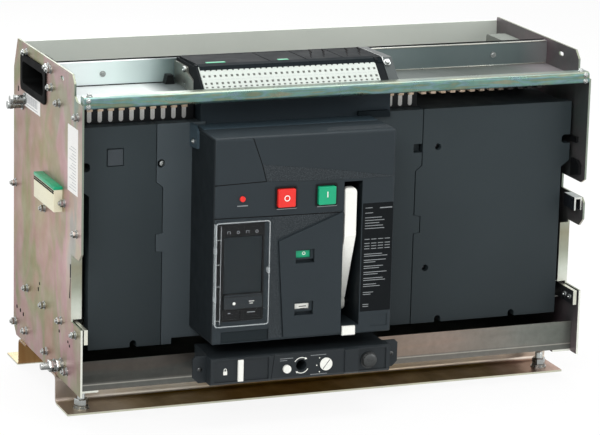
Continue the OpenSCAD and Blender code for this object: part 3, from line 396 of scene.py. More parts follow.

# Plastics: look, name, screen colour, roughness, grains a metre, depth of grain, drift of tone, gloss
# and, where it isn't 1, the share of its tone at the foot, a painted shade
PLASTICS = (
    ("panel", "panel_plastic", (48, 56, 59), 0.46, 1300.0, 0.10, 0.08, 0.14, 0.62),
    ("panel_inner", "inner_panel_plastic", (66, 74, 78), 0.46, 1300.0, 0.10, 0.08, 0.16, 0.7),
    ("knock", "knock_out_plastic", (60, 66, 70), 0.5, 1300.0, 0.10, 0.08, 0.16),
    ("band", "cover_band", (54, 68, 76), 0.34, 1500.0, 0.05, 0.10, 0.3),
    ("rack", "racking_plastic", (35, 40, 43), 0.42, 1500.0, 0.08, 0.08, 0.2),
    ("case", "case_plastic", (26, 28, 30), 0.5, 900.0, 0.16, 0.10, 0.16),
    ("module", "module_plastic", (30, 33, 35), 0.62, 900.0, 0.08, 0.10, 0.03),
    ("pocket", "pocket_plastic", (28, 35, 38), 0.5, 1300.0, 0.06, 0.08, 0.1),
    ("front", "module_front_plastic", (24, 30, 33), 0.6, 900.0, 0.06, 0.08, 0.03),
    ("plug", "plug_plastic", (40, 48, 53), 0.55, 1100.0, 0.05, 0.08, 0.08),
    ("plate_black", "nameplate_black", (19, 22, 24), 0.5, 1100.0, 0.03, 0.10, 0.06),
    ("trim", "black_trim", (17, 18, 19), 0.40, 1100.0, 0.05, 0.10, 0.2),
    ("keys", "key_pad", (40, 45, 48), 0.42, 1100.0, 0.05, 0.08, 0.2),
    ("white", "white_plastic", (236, 237, 229), 0.42, 1200.0, 0.05, 0.03, 0.25),
    ("strip", "strip_plastic", (190, 197, 191), 0.45, 1200.0, 0.05, 0.03, 0.2),
    ("red", "red_plastic", (222, 46, 40), 0.34, 1500.0, 0.03, 0.05, 0.3),
    ("green", "green_plastic", (20, 158, 114), 0.34, 1500.0, 0.03, 0.05, 0.3),
    ("cream", "cream_plastic", (226, 222, 196), 0.45, 1000.0, 0.06, 0.04, 0.25),
    ("void", "hole_shadow", (14, 14, 15), 0.8, 500.0, 0.05, 0.10, 0.1),
    ("label", "label_paper", (238, 238, 235), 0.5, 700.0, 0.03, 0.02, 0.2),
    ("label_ink", "label_ink", (176, 178, 180), 0.5, 700.0, 0.03, 0.05, 0.2),
    ("icon", "icon_print", (140, 144, 147), 0.5, 700.0, 0.03, 0.05, 0.2),
    ("socket", "strip_socket", (98, 100, 96), 0.6, 700.0, 0.03, 0.05, 0.1),
    ("print", "plate_print", (130, 134, 136), 0.5, 700.0, 0.03, 0.05, 0.2),
    ("vent", "vent_lining", (228, 226, 222), 0.55, 700.0, 0.05, 0.05, 0.2),
    ("screen", "screen_glass", (30, 37, 40), 0.20, 300.0, 0.01, 0.06, 0.2),
)
for look, name, colour, *values in PLASTICS:
    LOOKS[look] = plastic(name, srgb(*colour), *values)
# The cover's faces that point left keep 0.45 of its tone: painted shade on that side
LOOKS["cover"] = plastic("cover_plastic", srgb(42, 49, 53), 0.46, 1500.0, 0.08, 0.08, 0.14, left=0.45)


def grip_look():
    """Black cups; the inner shell of the right one is plated like the sheet behind it."""
    s = Shader("grip_plastic").put(Specular_IOR_Level=0.03)
    fine = s.noise(900.0, 2.0, 0.6)
    black = s.ramp(fine, tones((0.3, 14, 15, 15), (0.7, 20, 21, 21)))
    ends = [(0.0, grey(0)), (0.05, grey(1)), (0.90, grey(1)), (0.93, grey(0))]
    shell = s.ramp(s.axis("X", 0.28, 0.40), ends)
    s.colour(s.mix(black, srgb(128, 133, 127), shell))
    s.rough(s.spread(s.noise(40.0, 4.0), 0.55, 0.68))
    return s.bump(fine, 0.08).mat


def head_look():
    """Chute heads, pale to the left and dark in the shade of the right box."""
    s = Shader("vent_head").put(Specular_IOR_Level=0.2)
    spots = s.noise(120.0, 3.0)
    pale = s.ramp(spots, tones((0.35, 214, 188, 158), (0.65, 236, 214, 190)))
    s.colour(s.mix(pale, srgb(40, 39, 38), s.axis("X", 0.20, 0.29)))
    s.rough(s.spread(spots, 0.45, 0.6))
    return s.bump(spots, 0.05).mat


LOOKS["grip"] = grip_look()
LOOKS["peach"] = head_look()

# Looks of the CAD nodes, by node and otherwise by material slot, and their edge bevels in metres
NODE_LOOK = {
    "left_side_plate": "plate", "right_side_plate": "plate_right", "base_pan": "pan", "racking_box": "rack",
    "secondary_terminal_strip": "strip", "trip_unit": "trim", "hand_grips": "grip", "draw_out_rails": "rail",
    "right_stop_hook": "hook", "key_lock": "lock", "handle_pin": "trim", "nameplate": "plate_black",
    "secondary_terminal_base": "module", "left_inner_panel": "panel_inner", "left_side_bosses": "screw",
    "earth_stud": "screw", "back_panel": "sheet", "top_front_bar": "bar", "wiring_tray": "tray",
    "front_foot_rail": "foot", "rear_foot_rail": "foot_rear", "plug_block": "plug",
}
SLOT_LOOK = {
    "plate_zinc": "plate", "bright_zinc": "bright", "back_sheet": "sheet", "copper": "copper",
    "case_plastic": "case", "panel_plastic": "panel", "cover_plastic": "cover", "accent_plastic": "accent",
    "black_trim": "trim", "white_plastic": "white", "red_plastic": "red", "green_plastic": "green",
    "cream_plastic": "cream", "clear_plastic": "clear",
}
EDGE_BEVEL = 0.0005
NODE_BEVEL = {
    "arc_chute_grilles": 0.0, "secondary_terminal_strip": 0.0, "top_front_bar": 0.0,
    "trip_unit_cover": 0.0006, "front_cover": 0.0011, "left_front_panel": 0.0010,
    "right_front_panel": 0.0010, "left_inner_panel": 0.0010, "right_inner_panel": 0.0010,
    "charging_handle": 0.0016, "on_button": 0.0012, "off_button": 0.0012,
}


def soften_edges(obj, width):
    """Small round on the edges of a CAD node, by modifiers alone."""
    weld = obj.modifiers.new("weld", "WELD")
    weld.merge_threshold = 0.00001
    flat = obj.modifiers.new("flat", "DECIMATE")
    flat.decimate_type = "DISSOLVE"
    flat.angle_limit = math.radians(0.5)
    bevel = obj.modifiers.new("edge", "BEVEL")
    bevel.width = width
    bevel.segments = 2
    bevel.limit_method = "ANGLE"
    bevel.angle_limit = math.radians(40)
    bevel.harden_normals = True


for name, obj in nodes.items():
    obj.data.materials.clear()
    obj.data.materials.append(LOOKS[NODE_LOOK.get(name, SLOT_LOOK[slot_of[name]])])
    width = NODE_BEVEL.get(name, EDGE_BEVEL)
    if width:
        soften_edges(obj, width)


# Mesh helpers
def lathe(bm, origin, axis, profile, n, turn=0.0):
    """Turned shape: profile is (radius, distance along the axis), closed where the radius is 0."""
    ref = UP if abs(axis.z) < 0.9 else RIGHT
    ex = axis.cross(ref).normalized()
    ey = axis.cross(ex)
    rings = []
    for r, t in profile:
        c = Vector(origin) + axis * t
        if r < 1e-6:
            rings.append([bm.verts.new(c)])
            continue
        angles = [turn + 2 * math.pi * i / n for i in range(n)]
        rings.append([bm.verts.new(c + ex * r * math.cos(a) + ey * r * math.sin(a)) for a in angles])
    for a, b in zip(rings, rings[1:]):
        for i in range(n):
            j = (i + 1) % n
            if len(a) == 1:
                bm.faces.new((a[0], b[j], b[i]))
            elif len(b) == 1:
                bm.faces.new((a[i], a[j], b[0]))
            else:
                bm.faces.new((a[i], a[j], b[j], b[i]))


def ring(bm, origin, axis, inner, outer, height, n=32):
    lathe(bm, origin, axis, [(inner, 0), (outer, 0), (outer, height), (inner, height), (inner, 0)], n)


def disc(bm, origin, axis, r, height, n, edge=0.3):
    lathe(bm, origin, axis, [(0, 0), (r, 0), (r, height - edge), (r - edge, height), (0, height)], n)


def slab(bm, lo, hi, bevel):
    """Box between two corners, with that bevel on its edges."""
    made = bmesh.ops.create_cube(bm, size=1.0)["verts"]
    for v in made:
        v.co = Vector((lo[i] + (v.co[i] + 0.5) * (hi[i] - lo[i])) for i in range(3))
    if bevel:
        edges = list({e for v in made for e in v.link_edges})
        bmesh.ops.bevel(bm, geom=edges, offset=bevel, segments=2, affect="EDGES", profile=0.5)


# How an outline's two coordinates and the place along the extrusion go to X, Y and Z
PLANES = {
    "xz": lambda a, b, t: (a, t, b),
    "yz": lambda a, b, t: (t, a, b),
    "xy": lambda a, b, t: (a, b, t),
}


def prism(bm, points, lo, hi, plane="xz"):
    """Extruded outline. plane xz goes along Y, yz along X, xy along Z."""
    place = PLANES[plane]
    low = [bm.verts.new(place(a, b, lo)) for a, b in points]
    high = [bm.verts.new(place(a, b, hi)) for a, b in points]
    bm.faces.new(low)
    bm.faces.new(high[::-1])
    n = len(points)
    for i in range(n):
        j = (i + 1) % n
        bm.faces.new((low[i], high[i], high[j], low[j]))


def bar(bm, a, b, lo, hi, plane="xz"):
    """Extruded rectangle between a's two values and b's two values."""
    prism(bm, [(a[0], b[0]), (a[1], b[0]), (a[1], b[1]), (a[0], b[1])], lo, hi, plane)


def hoop(bm, outer, inner, low, top):
    """Flat frame between two outlines with as many points each, from low to top along Y."""
    loops = ((outer, low), (outer, top), (inner, top), (inner, low))
    rows = [[bm.verts.new((a, y, b)) for a, b in points] for points, y in loops]
    n = len(outer)
    for row, after in zip(rows, rows[1:] + rows[:1]):
        for i in range(n):
            j = (i + 1) % n
            bm.faces.new((row[i], row[j], after[j], after[i]))


def ribbon(points, width):
    """Outline of a line of that width through the points."""
    left, right = [], []
    for i, p in enumerate(points):
        a = Vector(points[max(i - 1, 0)])
        b = Vector(points[min(i + 1, len(points) - 1)])
        d = (b - a).normalized()
        side = Vector((-d.y, d.x)) * width / 2
        left.append(tuple(Vector(p) + side))
        right.append(tuple(Vector(p) - side))
    return left + right[::-1]


def arc(cx, cz, r, start, end, n=14):
    angles = [math.radians(start + (end - start) * i / n) for i in range(n + 1)]
    return [(cx + r * math.cos(a), cz + r * math.sin(a)) for a in angles]


def rounded(a, b, r):
    """Rectangle with round corners."""
    (x0, x1), (z0, z1) = a, b
    corners = ((x1 - r, z1 - r), (x0 + r, z1 - r), (x0 + r, z0 + r), (x1 - r, z0 + r))
    return [p for i, (cx, cz) in enumerate(corners) for p in arc(cx, cz, r, 90 * i, 90 * i + 90, 4)]


def piece(body, look):
    """Makes a visual piece, with that body and look, of the function under it.

    The function draws the piece and gives it its name.
    """
    def make(build):
        bm = bmesh.new()
        build(bm)
        for v in bm.verts:
            v.co = (v.co + FRAME_SHIFT) * MM
        bmesh.ops.recalc_face_normals(bm, faces=bm.faces)
        mesh = bpy.data.meshes.new(build.__name__)
        bm.to_mesh(mesh)
        bm.free()
        for p in mesh.polygons:
            p.use_smooth = True
        mesh.set_sharp_from_angle(angle=math.radians(35))
        mesh.materials.append(LOOKS[look])
        obj = bpy.data.objects.new(build.__name__, mesh)
        bpy.context.scene.collection.objects.link(obj)
        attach(obj, body)
        return build
    return make


def bolt(bm, p, axis, r, washer, h):
    """Hexagon head with a dished top, on a washer."""
    p = Vector(p)
    lathe(bm, p, axis, [(0, 0), (washer, 0), (washer, 0.9), (washer - 0.5, 1.4), (0, 1.4)], 20)
    head = [(0, 0), (r, 0), (r, h - 1.2), (r - 1.0, h), (r * 0.45, h), (r * 0.4, h - 0.8), (0, h - 0.8)]
    lathe(bm, p + axis * 1.4, axis, head, 6)


def nut(bm, p, axis, turn):
    """Two washers, a hexagon nut and the end of its screw."""
    p = Vector(p)
    lathe(bm, p, axis, [(0, 0), (6.4, 0), (6.4, 0.8), (6.0, 1.2), (0, 1.2)], 20)
    lathe(bm, p + axis * 1.2, axis, [(0, 0), (4.9, 0), (5.2, 0.4), (5.2, 1.1), (4.9, 1.5), (0, 1.5)], 20)
    lathe(bm, p + axis * 2.7, axis, [(0, 0), (5.0, 0), (5.4, 0.5), (5.4, 3.6), (4.8, 4.2), (0, 4.2)], 6, turn)
    lathe(bm, p + axis * 6.9, axis, [(0, 0), (2.9, 0), (2.9, 1.8), (2.3, 2.5), (0, 2.5)], 16)


def screw(bm, p, axis, r, h):
    """Pan head with a round recess."""
    head = [(0, 0), (r, 0), (r, h * 0.45), (r * 0.8, h * 0.85), (r * 0.4, h), (r * 0.28, h * 0.55),
            (0, h * 0.5)]
    lathe(bm, p, axis, head, 18)


# Side plates: nuts, holes and slots by depth and height, with each slot's own height after them,
# and slits as outlines
PLATE_NUTS = [(281, 448), (167, 448), (157, 446), (151, 421), (112, 406), (21, 404), (339, 238), (184, 235),
              (84, 266), (23.5, 235), (274, 90), (184, 88), (98, 88), (26.5, 86), (339, 21), (279, 22),
              (171, 21), (68, 19.5)]
# The right plate has no nut here.
LEFT_ONLY_NUT = (23.5, 235)
PLATE_HOLES = ((331, 46), (312, 45), (296, 43))
PLATE_SLOTS = ((325, 385, 8), (106, 70, 4), (62, 66, 4), (54, 62, 4), (215, 104, 6), (209, 114, 4))
PLATE_SLITS = ([(50, 164), (54, 164), (54, 184), (50, 184)], [(51, 163), (52.5, 163), (57, 133), (53, 133)])


def plate_nuts(bm, side, places):
    """Nuts on the outside of one plate, each turned a little further than the last."""
    for i, (y, z) in enumerate(places):
        nut(bm, (side * PLATE_X, y, z), RIGHT * side, 0.35 * i)


@piece("cradle", "screw")
def left_plate_bolts(bm):
    plate_nuts(bm, -1, PLATE_NUTS)


@piece("cradle", "screw")
def right_plate_bolts(bm):
    plate_nuts(bm, 1, [place for place in PLATE_NUTS if place != LEFT_ONLY_NUT])


@piece("cradle", "void")
def left_plate_holes(bm):
    for slit in PLATE_SLITS:
        prism(bm, slit, -PLATE_X - 0.25, -PLATE_X + 0.2, "yz")
    for y, z in PLATE_HOLES:
        disc(bm, (-PLATE_X + 0.1, y, z), LEFT, 3.2, 0.3, 16, 0.1)
    for y, z, h in PLATE_SLOTS:
        slab(bm, (-PLATE_X - 0.25, y - 2, z - h / 2), (-PLATE_X + 0.2, y + 2, z + h / 2), 0)


@piece("cradle", "label")
def plate_labels(bm):
    """Two blank labels on the left plate."""
    x = (-PLATE_X - 0.25, -PLATE_X + 0.1)
    bar(bm, (209, 290), (366, 393), *x, "yz")
    bar(bm, (19, 68), (290, 386), *x, "yz")


@piece("cradle", "label_ink")
def plate_label_bars(bm):
    """Plain bars in place of print: lines and upright strokes on one label, lines on the other."""
    boxes = [((222, 280), (369, 370.2)), ((234, 270), (388, 389.2))]
    boxes += [((224 + 3.4 * i, 225.4 + 3.4 * i + 0.5 * (i % 3)), (373, 385)) for i in range(17)]
    boxes += [((27, 60 - (i % 3) * 7), (296 + i * 4.6, 296.8 + i * 4.6)) for i in range(14)]
    for y, z in boxes:
        bar(bm, y, z, -PLATE_X - 0.4, -PLATE_X - 0.2, "yz")


@piece("cradle", "trim")
def plate_lugs(bm):
    """A black stop and a small black oblong on the right plate's inner face."""
    prism(bm, [(12, 277), (40, 270), (40, 297), (20, 297), (12, 291)], 385.4, 390.2, "yz")
    prism(bm, [(26, 323), (50, 321), (50, 330), (26, 331)], 386.0, 390.2, "yz")


@piece("cradle", "screw")
def earth_stud_nuts(bm):
    """Washers, two nuts and turns of thread along the earth stud, as distances from the plate."""
    root = Vector((-PLATE_X, 92, 23))
    core = 5.05
    for t, r, h in ((0, 10.5, 1.6), (1.7, 9.5, 1.6), (10.2, 10, 1.6), (12, 9, 1.8)):
        ring(bm, root + LEFT * t, LEFT, core, r, h, 24)
    hexagon = [(core, 0), (9, 0), (9.4, 0.8), (9.4, 5.6), (8.8, 6.4), (core, 6.4), (core, 0)]
    for t in (3.4, 14.0):
        lathe(bm, root + LEFT * t, LEFT, hexagon, 6)
    for i in range(9):
        ring(bm, root + LEFT * (21 + i * 1.15), LEFT, 4.9, 5.35, 0.6, 20)


@piece("cradle", "screw")
def side_boss_rings(bm):
    for y, z in ((288, 377), (302, 366)):
        root = Vector((-PLATE_X, y, z))
        ring(bm, root, LEFT, 6.02, 8.5, 2.0)
        ring(bm, root + LEFT * 16, LEFT, 5.9, 6.5, 4.0)


@piece("cradle", "green")
def terminal_block_cap(bm):
    slab(bm, (-PLATE_X - 13.6, 92.5, 283.5), (-PLATE_X, 195.5, 288), 0.6)


@piece("cradle", "void")
def terminal_block_marks(bm):
    for z in (277.6, 280.6):
        slab(bm, (-PLATE_X - 13.5, 93.5, z), (-PLATE_X - 12.8, 194.5, z + 1.8), 0)


@piece("cradle", "cream")
def terminal_block_face(bm):
    slab(bm, (-PLATE_X - 13.3, 93.4, 251.6), (-PLATE_X - 12.9, 194.6, 277.0), 0.1)


# Feet, bar and tray
@piece("cradle", "screw")
def foot_bolt_sets(bm):
    """Bolt end, two washers and a nut in each corner of the feet."""
    core = 6.05
    shank = [(0, -2.9), (6, -2.9), (6, 22.5), (5.0, 24.5), (0, 24.5)]
    hexagon = [(core, 0), (9.6, 0), (10.4, 0.9), (10.4, 8.8), (9.4, 10), (core, 10), (core, 0)]
    for x in (-367, 367):
        for y in (80, 354):
            root = Vector((x, y, -41))
            lathe(bm, root, UP, shank, 20)
            ring(bm, root, UP, core, 12, 2.2, 28)
            ring(bm, root + UP * 2.3, UP, core, 10.2, 2.6, 24)
            lathe(bm, root + UP * 5.0, UP, hexagon, 6, 0.4)


@piece("cradle", "screw")
def bar_end_screws(bm):
    for side in (-1, 1):
        for z in (431, 422):
            bolt(bm, (side * 384, 0.4, z), FRONT, 3.0, 3.9, 2.6)
        bolt(bm, (side * 380, 9, 435.5), UP, 3.6, 4.6, 2.6)


@piece("cradle", "screw")
def tray_rivets(bm):
    for x in (-318, 300):
        ring(bm, (x, 147.1, 438), FRONT, 1.6, 4.6, 0.9, 20)
        disc(bm, (x, 147.1, 438), FRONT, 2.6, 1.4, 16)


@piece("cradle", "bright")
def tray_edge_highlights(bm):
    """Bright folded edges of the tray's wall in its right half: painted highlights."""
    slab(bm, (96, 146.4, 454.6), (388, 150, 456.5), 0.5)
    slab(bm, (96, 145.2, 420.9), (388, 147.2, 423), 0.5)


@piece("cradle", "void")
def tray_gap_shadows(bm):
    """Painted shadow in the gap along the wall's upper flange and in the open joint at its left foot."""
    slab(bm, (-388, 155.0, 455.9), (388, 158.1, 457.4), 0.3)
    slab(bm, (-388, 146.0, 420.9), (-216, 147.2, 422.3), 0.2)


@piece("cradle", "trim")
def tray_plug(bm):
    prism(bm, [(-227, 421), (-213, 421), (-215, 434), (-224, 434)], 133, 147)


# Secondary terminals: lower and upper edge of the sloping face, then the strip's thickness, left end,
# length and number of columns
SLOPE_FOOT = Vector((0, 22, 429))
SLOPE_HEAD = Vector((0, 54, 458))
SLOPE = SLOPE_HEAD - SLOPE_FOOT
SLOPE_NORMAL = Vector((0, -SLOPE.z, SLOPE.y)).normalized()
STRIP_T = 4
STRIP_X = -206.0
STRIP_L = 270.0
STRIP_N = 32
# Rows of openings and upper edge of the strip, as shares of the slope
STRIP_ROWS = ((0.105, 0.165), (0.245, 0.335), (0.545, 0.635))
STRIP_TOP = 0.80
STRIP_COLUMNS = [STRIP_X + (i + 0.5) * STRIP_L / STRIP_N for i in range(STRIP_N)]
# Joints between the plug modules behind the strip
MODULES = (-205, -93, -36.5, 20.6, 77)
MODULE_SPANS = list(zip(MODULES, MODULES[1:]))


def on_slope(x, t, out):
    """Point of the terminal face: t from its lower edge to its upper edge, out along its normal."""
    p = SLOPE_FOOT + SLOPE * t + SLOPE_NORMAL * (STRIP_T + out)
    return Vector((x, p.y, p.z))


def slope_box(bm, x, t, out):
    """Box on the terminal face between two values of each."""
    corners = ((x[0], t[0]), (x[1], t[0]), (x[1], t[1]), (x[0], t[1]))
    v = [bm.verts.new(on_slope(a, b, o)) for o in out for a, b in corners]
    for f in ((0, 1, 2, 3), (7, 6, 5, 4), (0, 4, 5, 1), (1, 5, 6, 2), (2, 6, 7, 3), (3, 7, 4, 0)):
        bm.faces.new([v[i] for i in f])


@piece("cradle", "strip")
def strip_face(bm):
    """Moulded face of the strip: bars between three rows of openings, and a scalloped upper edge."""
    ends = (STRIP_X + 0.2, STRIP_X + STRIP_L - 0.2)
    thick = (-0.2, 0.9)
    levels = [-0.02] + [v for row in STRIP_ROWS for v in row] + [STRIP_TOP]
    for t in zip(levels[0::2], levels[1::2]):
        slope_box(bm, ends, t, thick)
    edges = [ends[0]] + [v for x in STRIP_COLUMNS for v in (x - 1.75, x + 1.75)] + [ends[1]]
    for row in STRIP_ROWS:
        for x in zip(edges[0::2], edges[1::2]):
            slope_box(bm, x, row, thick)
    for x in STRIP_COLUMNS:
        slope_box(bm, (x - 3.0, x + 3.0), (STRIP_TOP - 0.01, STRIP_TOP + 0.035), (0.0, 0.9))


@piece("cradle", "socket")
def strip_screw_holes(bm):
    for x in STRIP_COLUMNS:
        for a, b in STRIP_ROWS:
            slope_box(bm, (x - 1.7, x + 1.7), (a + 0.004, b - 0.004), (0.02, 0.3))


@piece("cradle", "label_ink")
def strip_joint(bm):
    """Fine joint between the two halves of the strip."""
    for x in STRIP_COLUMNS:
        slope_box(bm, (x - 3.2, x + 3.2), (0.435, 0.447), (0.85, 0.95))


@piece("cradle", "module")
def terminal_modules(bm):
    """Plug modules behind the strip, with gaps between them."""
    outline = [(61.5, 456), (61.5, 462.4), (62.4, 463.0), (137, 460.8), (138, 459.8), (138, 456)]
    for a, b in MODULE_SPANS:
        prism(bm, outline, a + 0.8, b - 0.8, "yz")


@piece("cradle", "front")
def terminal_module_fronts(bm):
    """Sloping fronts of the modules over the strip's upper edge."""
    outline = [(45.4, 454.6), (45.4, 456.4), (50.6, 461.8), (61.4, 463.2), (61.4, 456)]
    for a, b in MODULE_SPANS:
        prism(bm, outline, a + 0.15, b - 0.15, "yz")


@piece("cradle", "void")
def terminal_module_lines(bm):
    """Moulded curves on the tops of the two right modules: shares of the width against depth."""
    curve = ((0.0, 72), (0.06, 86), (0.14, 92), (0.2, 108), (0.3, 116), (0.34, 132))
    for a, b in MODULE_SPANS[2:]:
        for start in (0.2, 0.55):
            points = [(a + (b - a) * (start + share), y) for share, y in curve]
            prism(bm, ribbon(points, 1.4), 461.0, 462.9, "xy")


@piece("cradle", "green")
def terminal_module_marks(bm):
    for a, b, y in ((-188, -159, 66), (-79, -63, 64)):
        slab(bm, (a, y, 461.8), (b, y + 7, 463.3), 0.2)


@piece("cradle", "module")
def terminal_end_caps(bm):
    """Stepped black caps at both ends of the strip."""
    outline = [(20, 421), (20, 431), (52, 461), (52, 463), (60, 463), (60, 421)]
    prism(bm, outline, -209.5, -206.2, "yz")
    prism(bm, outline, 64.2, 76.8, "yz")
    prism(bm, [(36, 446.5), (46, 456), (46, 460), (50, 462.8), (58, 462.8), (58, 446.5)], 64.2, 68.5, "yz")


@piece("cradle", "bracket")
def terminal_end_bracket(bm):
    """Folded end bracket to the right of the caps."""
    outline = [(19.2, 421), (19.2, 432), (52, 462.4), (60, 462.4), (144.5, 460), (144.5, 421)]
    prism(bm, outline, 77.0, 92.4, "yz")


@piece("cradle", "screw")
def terminal_bracket_edge_highlight(bm):
    """Bright edge of the end bracket, a painted highlight, and its bolt."""
    outline = [(46, 450), (46, 457.4), (51.8, 463), (60, 463.2), (144.8, 461), (144.8, 450)]
    prism(bm, outline, 77.0, 77.8, "yz")
    bolt(bm, on_slope(82.5, 0.80, 0.6), SLOPE_NORMAL, 4.4, 5.6, 3.4)


@piece("cradle", "screw")
def bracket_screws(bm):
    screw(bm, (-209.2, 100, 449), LEFT, 4.6, 3)
    screw(bm, (95.2, 100, 449), RIGHT, 4.6, 3)


# Arc chutes: left end, right end and front of each row of vents, and how far its heads reach forward
CHUTES = ((-370.0, -208.0, 62.0, 57.5), (-205.0, 88.0, 162.0, 157.5), (91.0, 139.5, 62.0, 57.5),
          (142.5, 350.0, 144.0, 57.5))
VENT_PITCH = 15.7
VENT_MARGIN = 6.0


def vent_places():
    for x0, x1, y, reach in CHUTES:
        for i in range(int((x1 - x0 - 2 * VENT_MARGIN) // VENT_PITCH) + 1):
            yield x0 + VENT_MARGIN + VENT_PITCH * i, y, reach


@piece("breaker", "vent")
def vent_linings(bm):
    for x, y, _ in vent_places():
        prism(bm, rounded((x - 3.15, x + 3.15), (386.1, 406.9), 3.0), y - 0.3, y + 7.9)


@piece("breaker", "peach")
def vent_heads(bm):
    for x, y, reach in vent_places():
        slab(bm, (x - 4.3, reach, 402.4), (x + 4.3, y + 0.6, 408.6), 1.2)


# Front panels and rails
@piece("breaker", "dark_steel")
def panel_screws(bm):
    screw(bm, (167, 50, 326), FRONT, 4.2, 2)
    screw(bm, (153, 50, 142), FRONT, 4.2, 2)


@piece("breaker", "screw")
def lead_screw(bm):
    screw(bm, (-261, 45, 325.5), FRONT, 4.4, 3)


@piece("breaker", "knock")
def knock_out_face(bm):
    prism(bm, rounded((-342.6, -320.4), (327.4, 350.6), 0.8), 39.55, 40.3)


@piece("rails", "screw")
def rail_bolts(bm):
    for y in (14, 30):
        screw(bm, (381.8, y, 88), LEFT, 4.6, 2.2)
        screw(bm, (-381.8, y, 88), RIGHT, 4.6, 2.2)


# Mechanism cover: middles of the two buttons
OFF = (-109.0, 289.5)
ON = (-47.5, 289.5)


def square(x, z, half, r):
    return rounded((x - half, x + half), (z - half, z + half), r)


@piece("breaker", "trim")
def button_frames(bm):
    for x, z in (OFF, ON):
        hoop(bm, square(x, z, 16.4, 2.5), square(x, z, 14.2, 1.6), COVER_Y + 0.2, COVER_Y - 1.3)


@piece("breaker", "print")
def button_frame_highlights(bm):
    """Pale lower edge of the two button frames: a painted highlight."""
    lip = ((-14, -16.8), (15.5, -16.8), (17, -15.4), (14.6, -15.8), (-14, -15.8))
    for x, z in (OFF, ON):
        prism(bm, [(x + a, z + b) for a, b in lip], COVER_Y - 1.5, COVER_Y - 1.1)


@piece("off_push", "white")
def off_button_mark(bm):
    ring(bm, (OFF[0], COVER_Y - 5.9, OFF[1]), FRONT, 3.1, 4.4, 0.25, 28)


@piece("on_push", "white")
def on_button_mark(bm):
    slab(bm, (ON[0] - 0.7, COVER_Y - 6.2, ON[1] - 2.5), (ON[0] + 0.7, COVER_Y - 5.9, ON[1] + 6), 0.1)


@piece("breaker", "band")
def cover_band(bm):
    """Smooth band across the back of the cover's top and the collar beside it."""
    slab(bm, (-212, 4, 379.8), (54, 39.6, 380.5), 0.3)
    prism(bm, [(8, 352), (39.6, 350), (39.6, 383.5), (20, 383.5), (8, 376)], -221.0, -216.8, "yz")


@piece("breaker", "screw")
def collar_screw(bm):
    screw(bm, (-220.8, 23.5, 360), LEFT, 4.2, 2.4)


@piece("breaker", "accent")
def grain_inlays(bm):
    """Grained fields beside the trip unit and on the cover's top."""
    beside = [(-131, 84), (-110.5, 84), (-120.5, 226), (-124, 240), (-131, 261)]
    prism(bm, beside, COVER_Y - 0.35, COVER_Y + 0.1)
    prism(bm, [(-48, -48.5), (56, -50), (56, -26), (-31, -23)], 379.9, 380.3, "xy")


@piece("breaker", "void")
def cover_creases(bm):
    """Shadow in the grooves round the cover's upper left field and along its band."""
    field = [(-216, 312.5), (-138.6, 314.5), (-145.6, 339.5), (-159.4, 377.5)]
    band = [(-216, 264.5), (-26, 262.5)]
    for points in (field, band):
        prism(bm, ribbon(points, 1.3), COVER_Y - 0.06, COVER_Y + 0.5)


@piece("breaker", "pocket")
def cover_pocket(bm):
    """Floor of the long recess under the trip unit."""
    prism(bm, rounded((-202.4, -131.6), (82.6, 97.4), 1.0), COVER_Y + 1.2, COVER_Y + 2.1)


@piece("breaker", "front")
def plug_collar(bm):
    """Dark collar under the plug block."""
    prism(bm, [(36, 377), (86, 377), (86, 384), (83, 387), (36, 387)], 34.0, 39.8)


# Lines of print on the nameplate: height, width and number side by side
PRINT_ROWS = ((265.5, 11, 1), (258, 12, 1), (251, 26, 1), (247, 30, 1), (243, 22, 1), (239, 28, 1),
              (235, 30, 1), (219, 8, 4), (213, 8, 4), (209, 8, 4), (205, 8, 4), (197, 28, 1), (194, 36, 1),
              (188, 34, 1), (185, 18, 1), (179, 30, 1), (176, 24, 1), (170, 36, 1), (167, 22, 1),
              (161, 30, 1), (158, 34, 1), (152, 20, 1), (149, 26, 1), (140, 16, 1), (137, 12, 1),
              (122, 9, 1), (119, 9, 1))
PRINT_X = 13.5
PRINT_STEP = 10.5


@piece("breaker", "print")
def plate_print(bm):
    """Plain bars in place of print on the nameplate and under the reset button."""
    y = (COVER_Y - 0.12, COVER_Y + 0.1)
    for z, w, n in PRINT_ROWS:
        for i in range(n):
            x = PRINT_X + PRINT_STEP * i
            bar(bm, (x, x + w), (z, z + 1.0), *y)
    bar(bm, (36, 55), (264.5, 266), *y)
    bar(bm, (-182, -166), (280.5, 282), *y)


@piece("breaker", "white")
def contact_flag_mark(bm):
    ring(bm, (-78.5, COVER_Y + 3.0, 205), FRONT, 1.7, 2.5, 0.25, 20)


@piece("breaker", "trim")
def spring_flag_marks(bm):
    slab(bm, (-84, COVER_Y + 2.8, 126), (-73, COVER_Y + 3.1, 127.2), 0)
    slab(bm, (-82, COVER_Y + 2.8, 122.5), (-75, COVER_Y + 3.1, 123.7), 0)


@piece("breaker", "cover")
def flag_window_shade_lips(bm):
    """Lips that narrow the two flag windows, open to the left: painted shade along the windows' edges."""
    left, inner, right = -92.4, -69.4, -64.6
    for low, high, z0, z1 in ((198.9, 209.9, 197.1, 211.9), (123.2, 131.6, 120.1, 134.9)):
        window = [(left, high), (inner, high), (inner, low), (left, low)]
        prism(bm, window + [(left, z0), (right, z0), (right, z1), (left, z1)], COVER_Y + 0.3, COVER_Y + 2.9)


@piece("breaker", "white")
def handle_latch_foot(bm):
    """Lower half of the handle latch."""
    prism(bm, [(-61, 84.4), (-61, 80.4), (-60, 79.4), (-56.4, 79.4), (-56.4, 84.4)], -18.4, 1.4, "yz")


# Trip unit and its clear cover: front of the clear cover and of the key pad
LID_Y = COVER_Y - 10.0
KEYS_Y = COVER_Y - 4.2


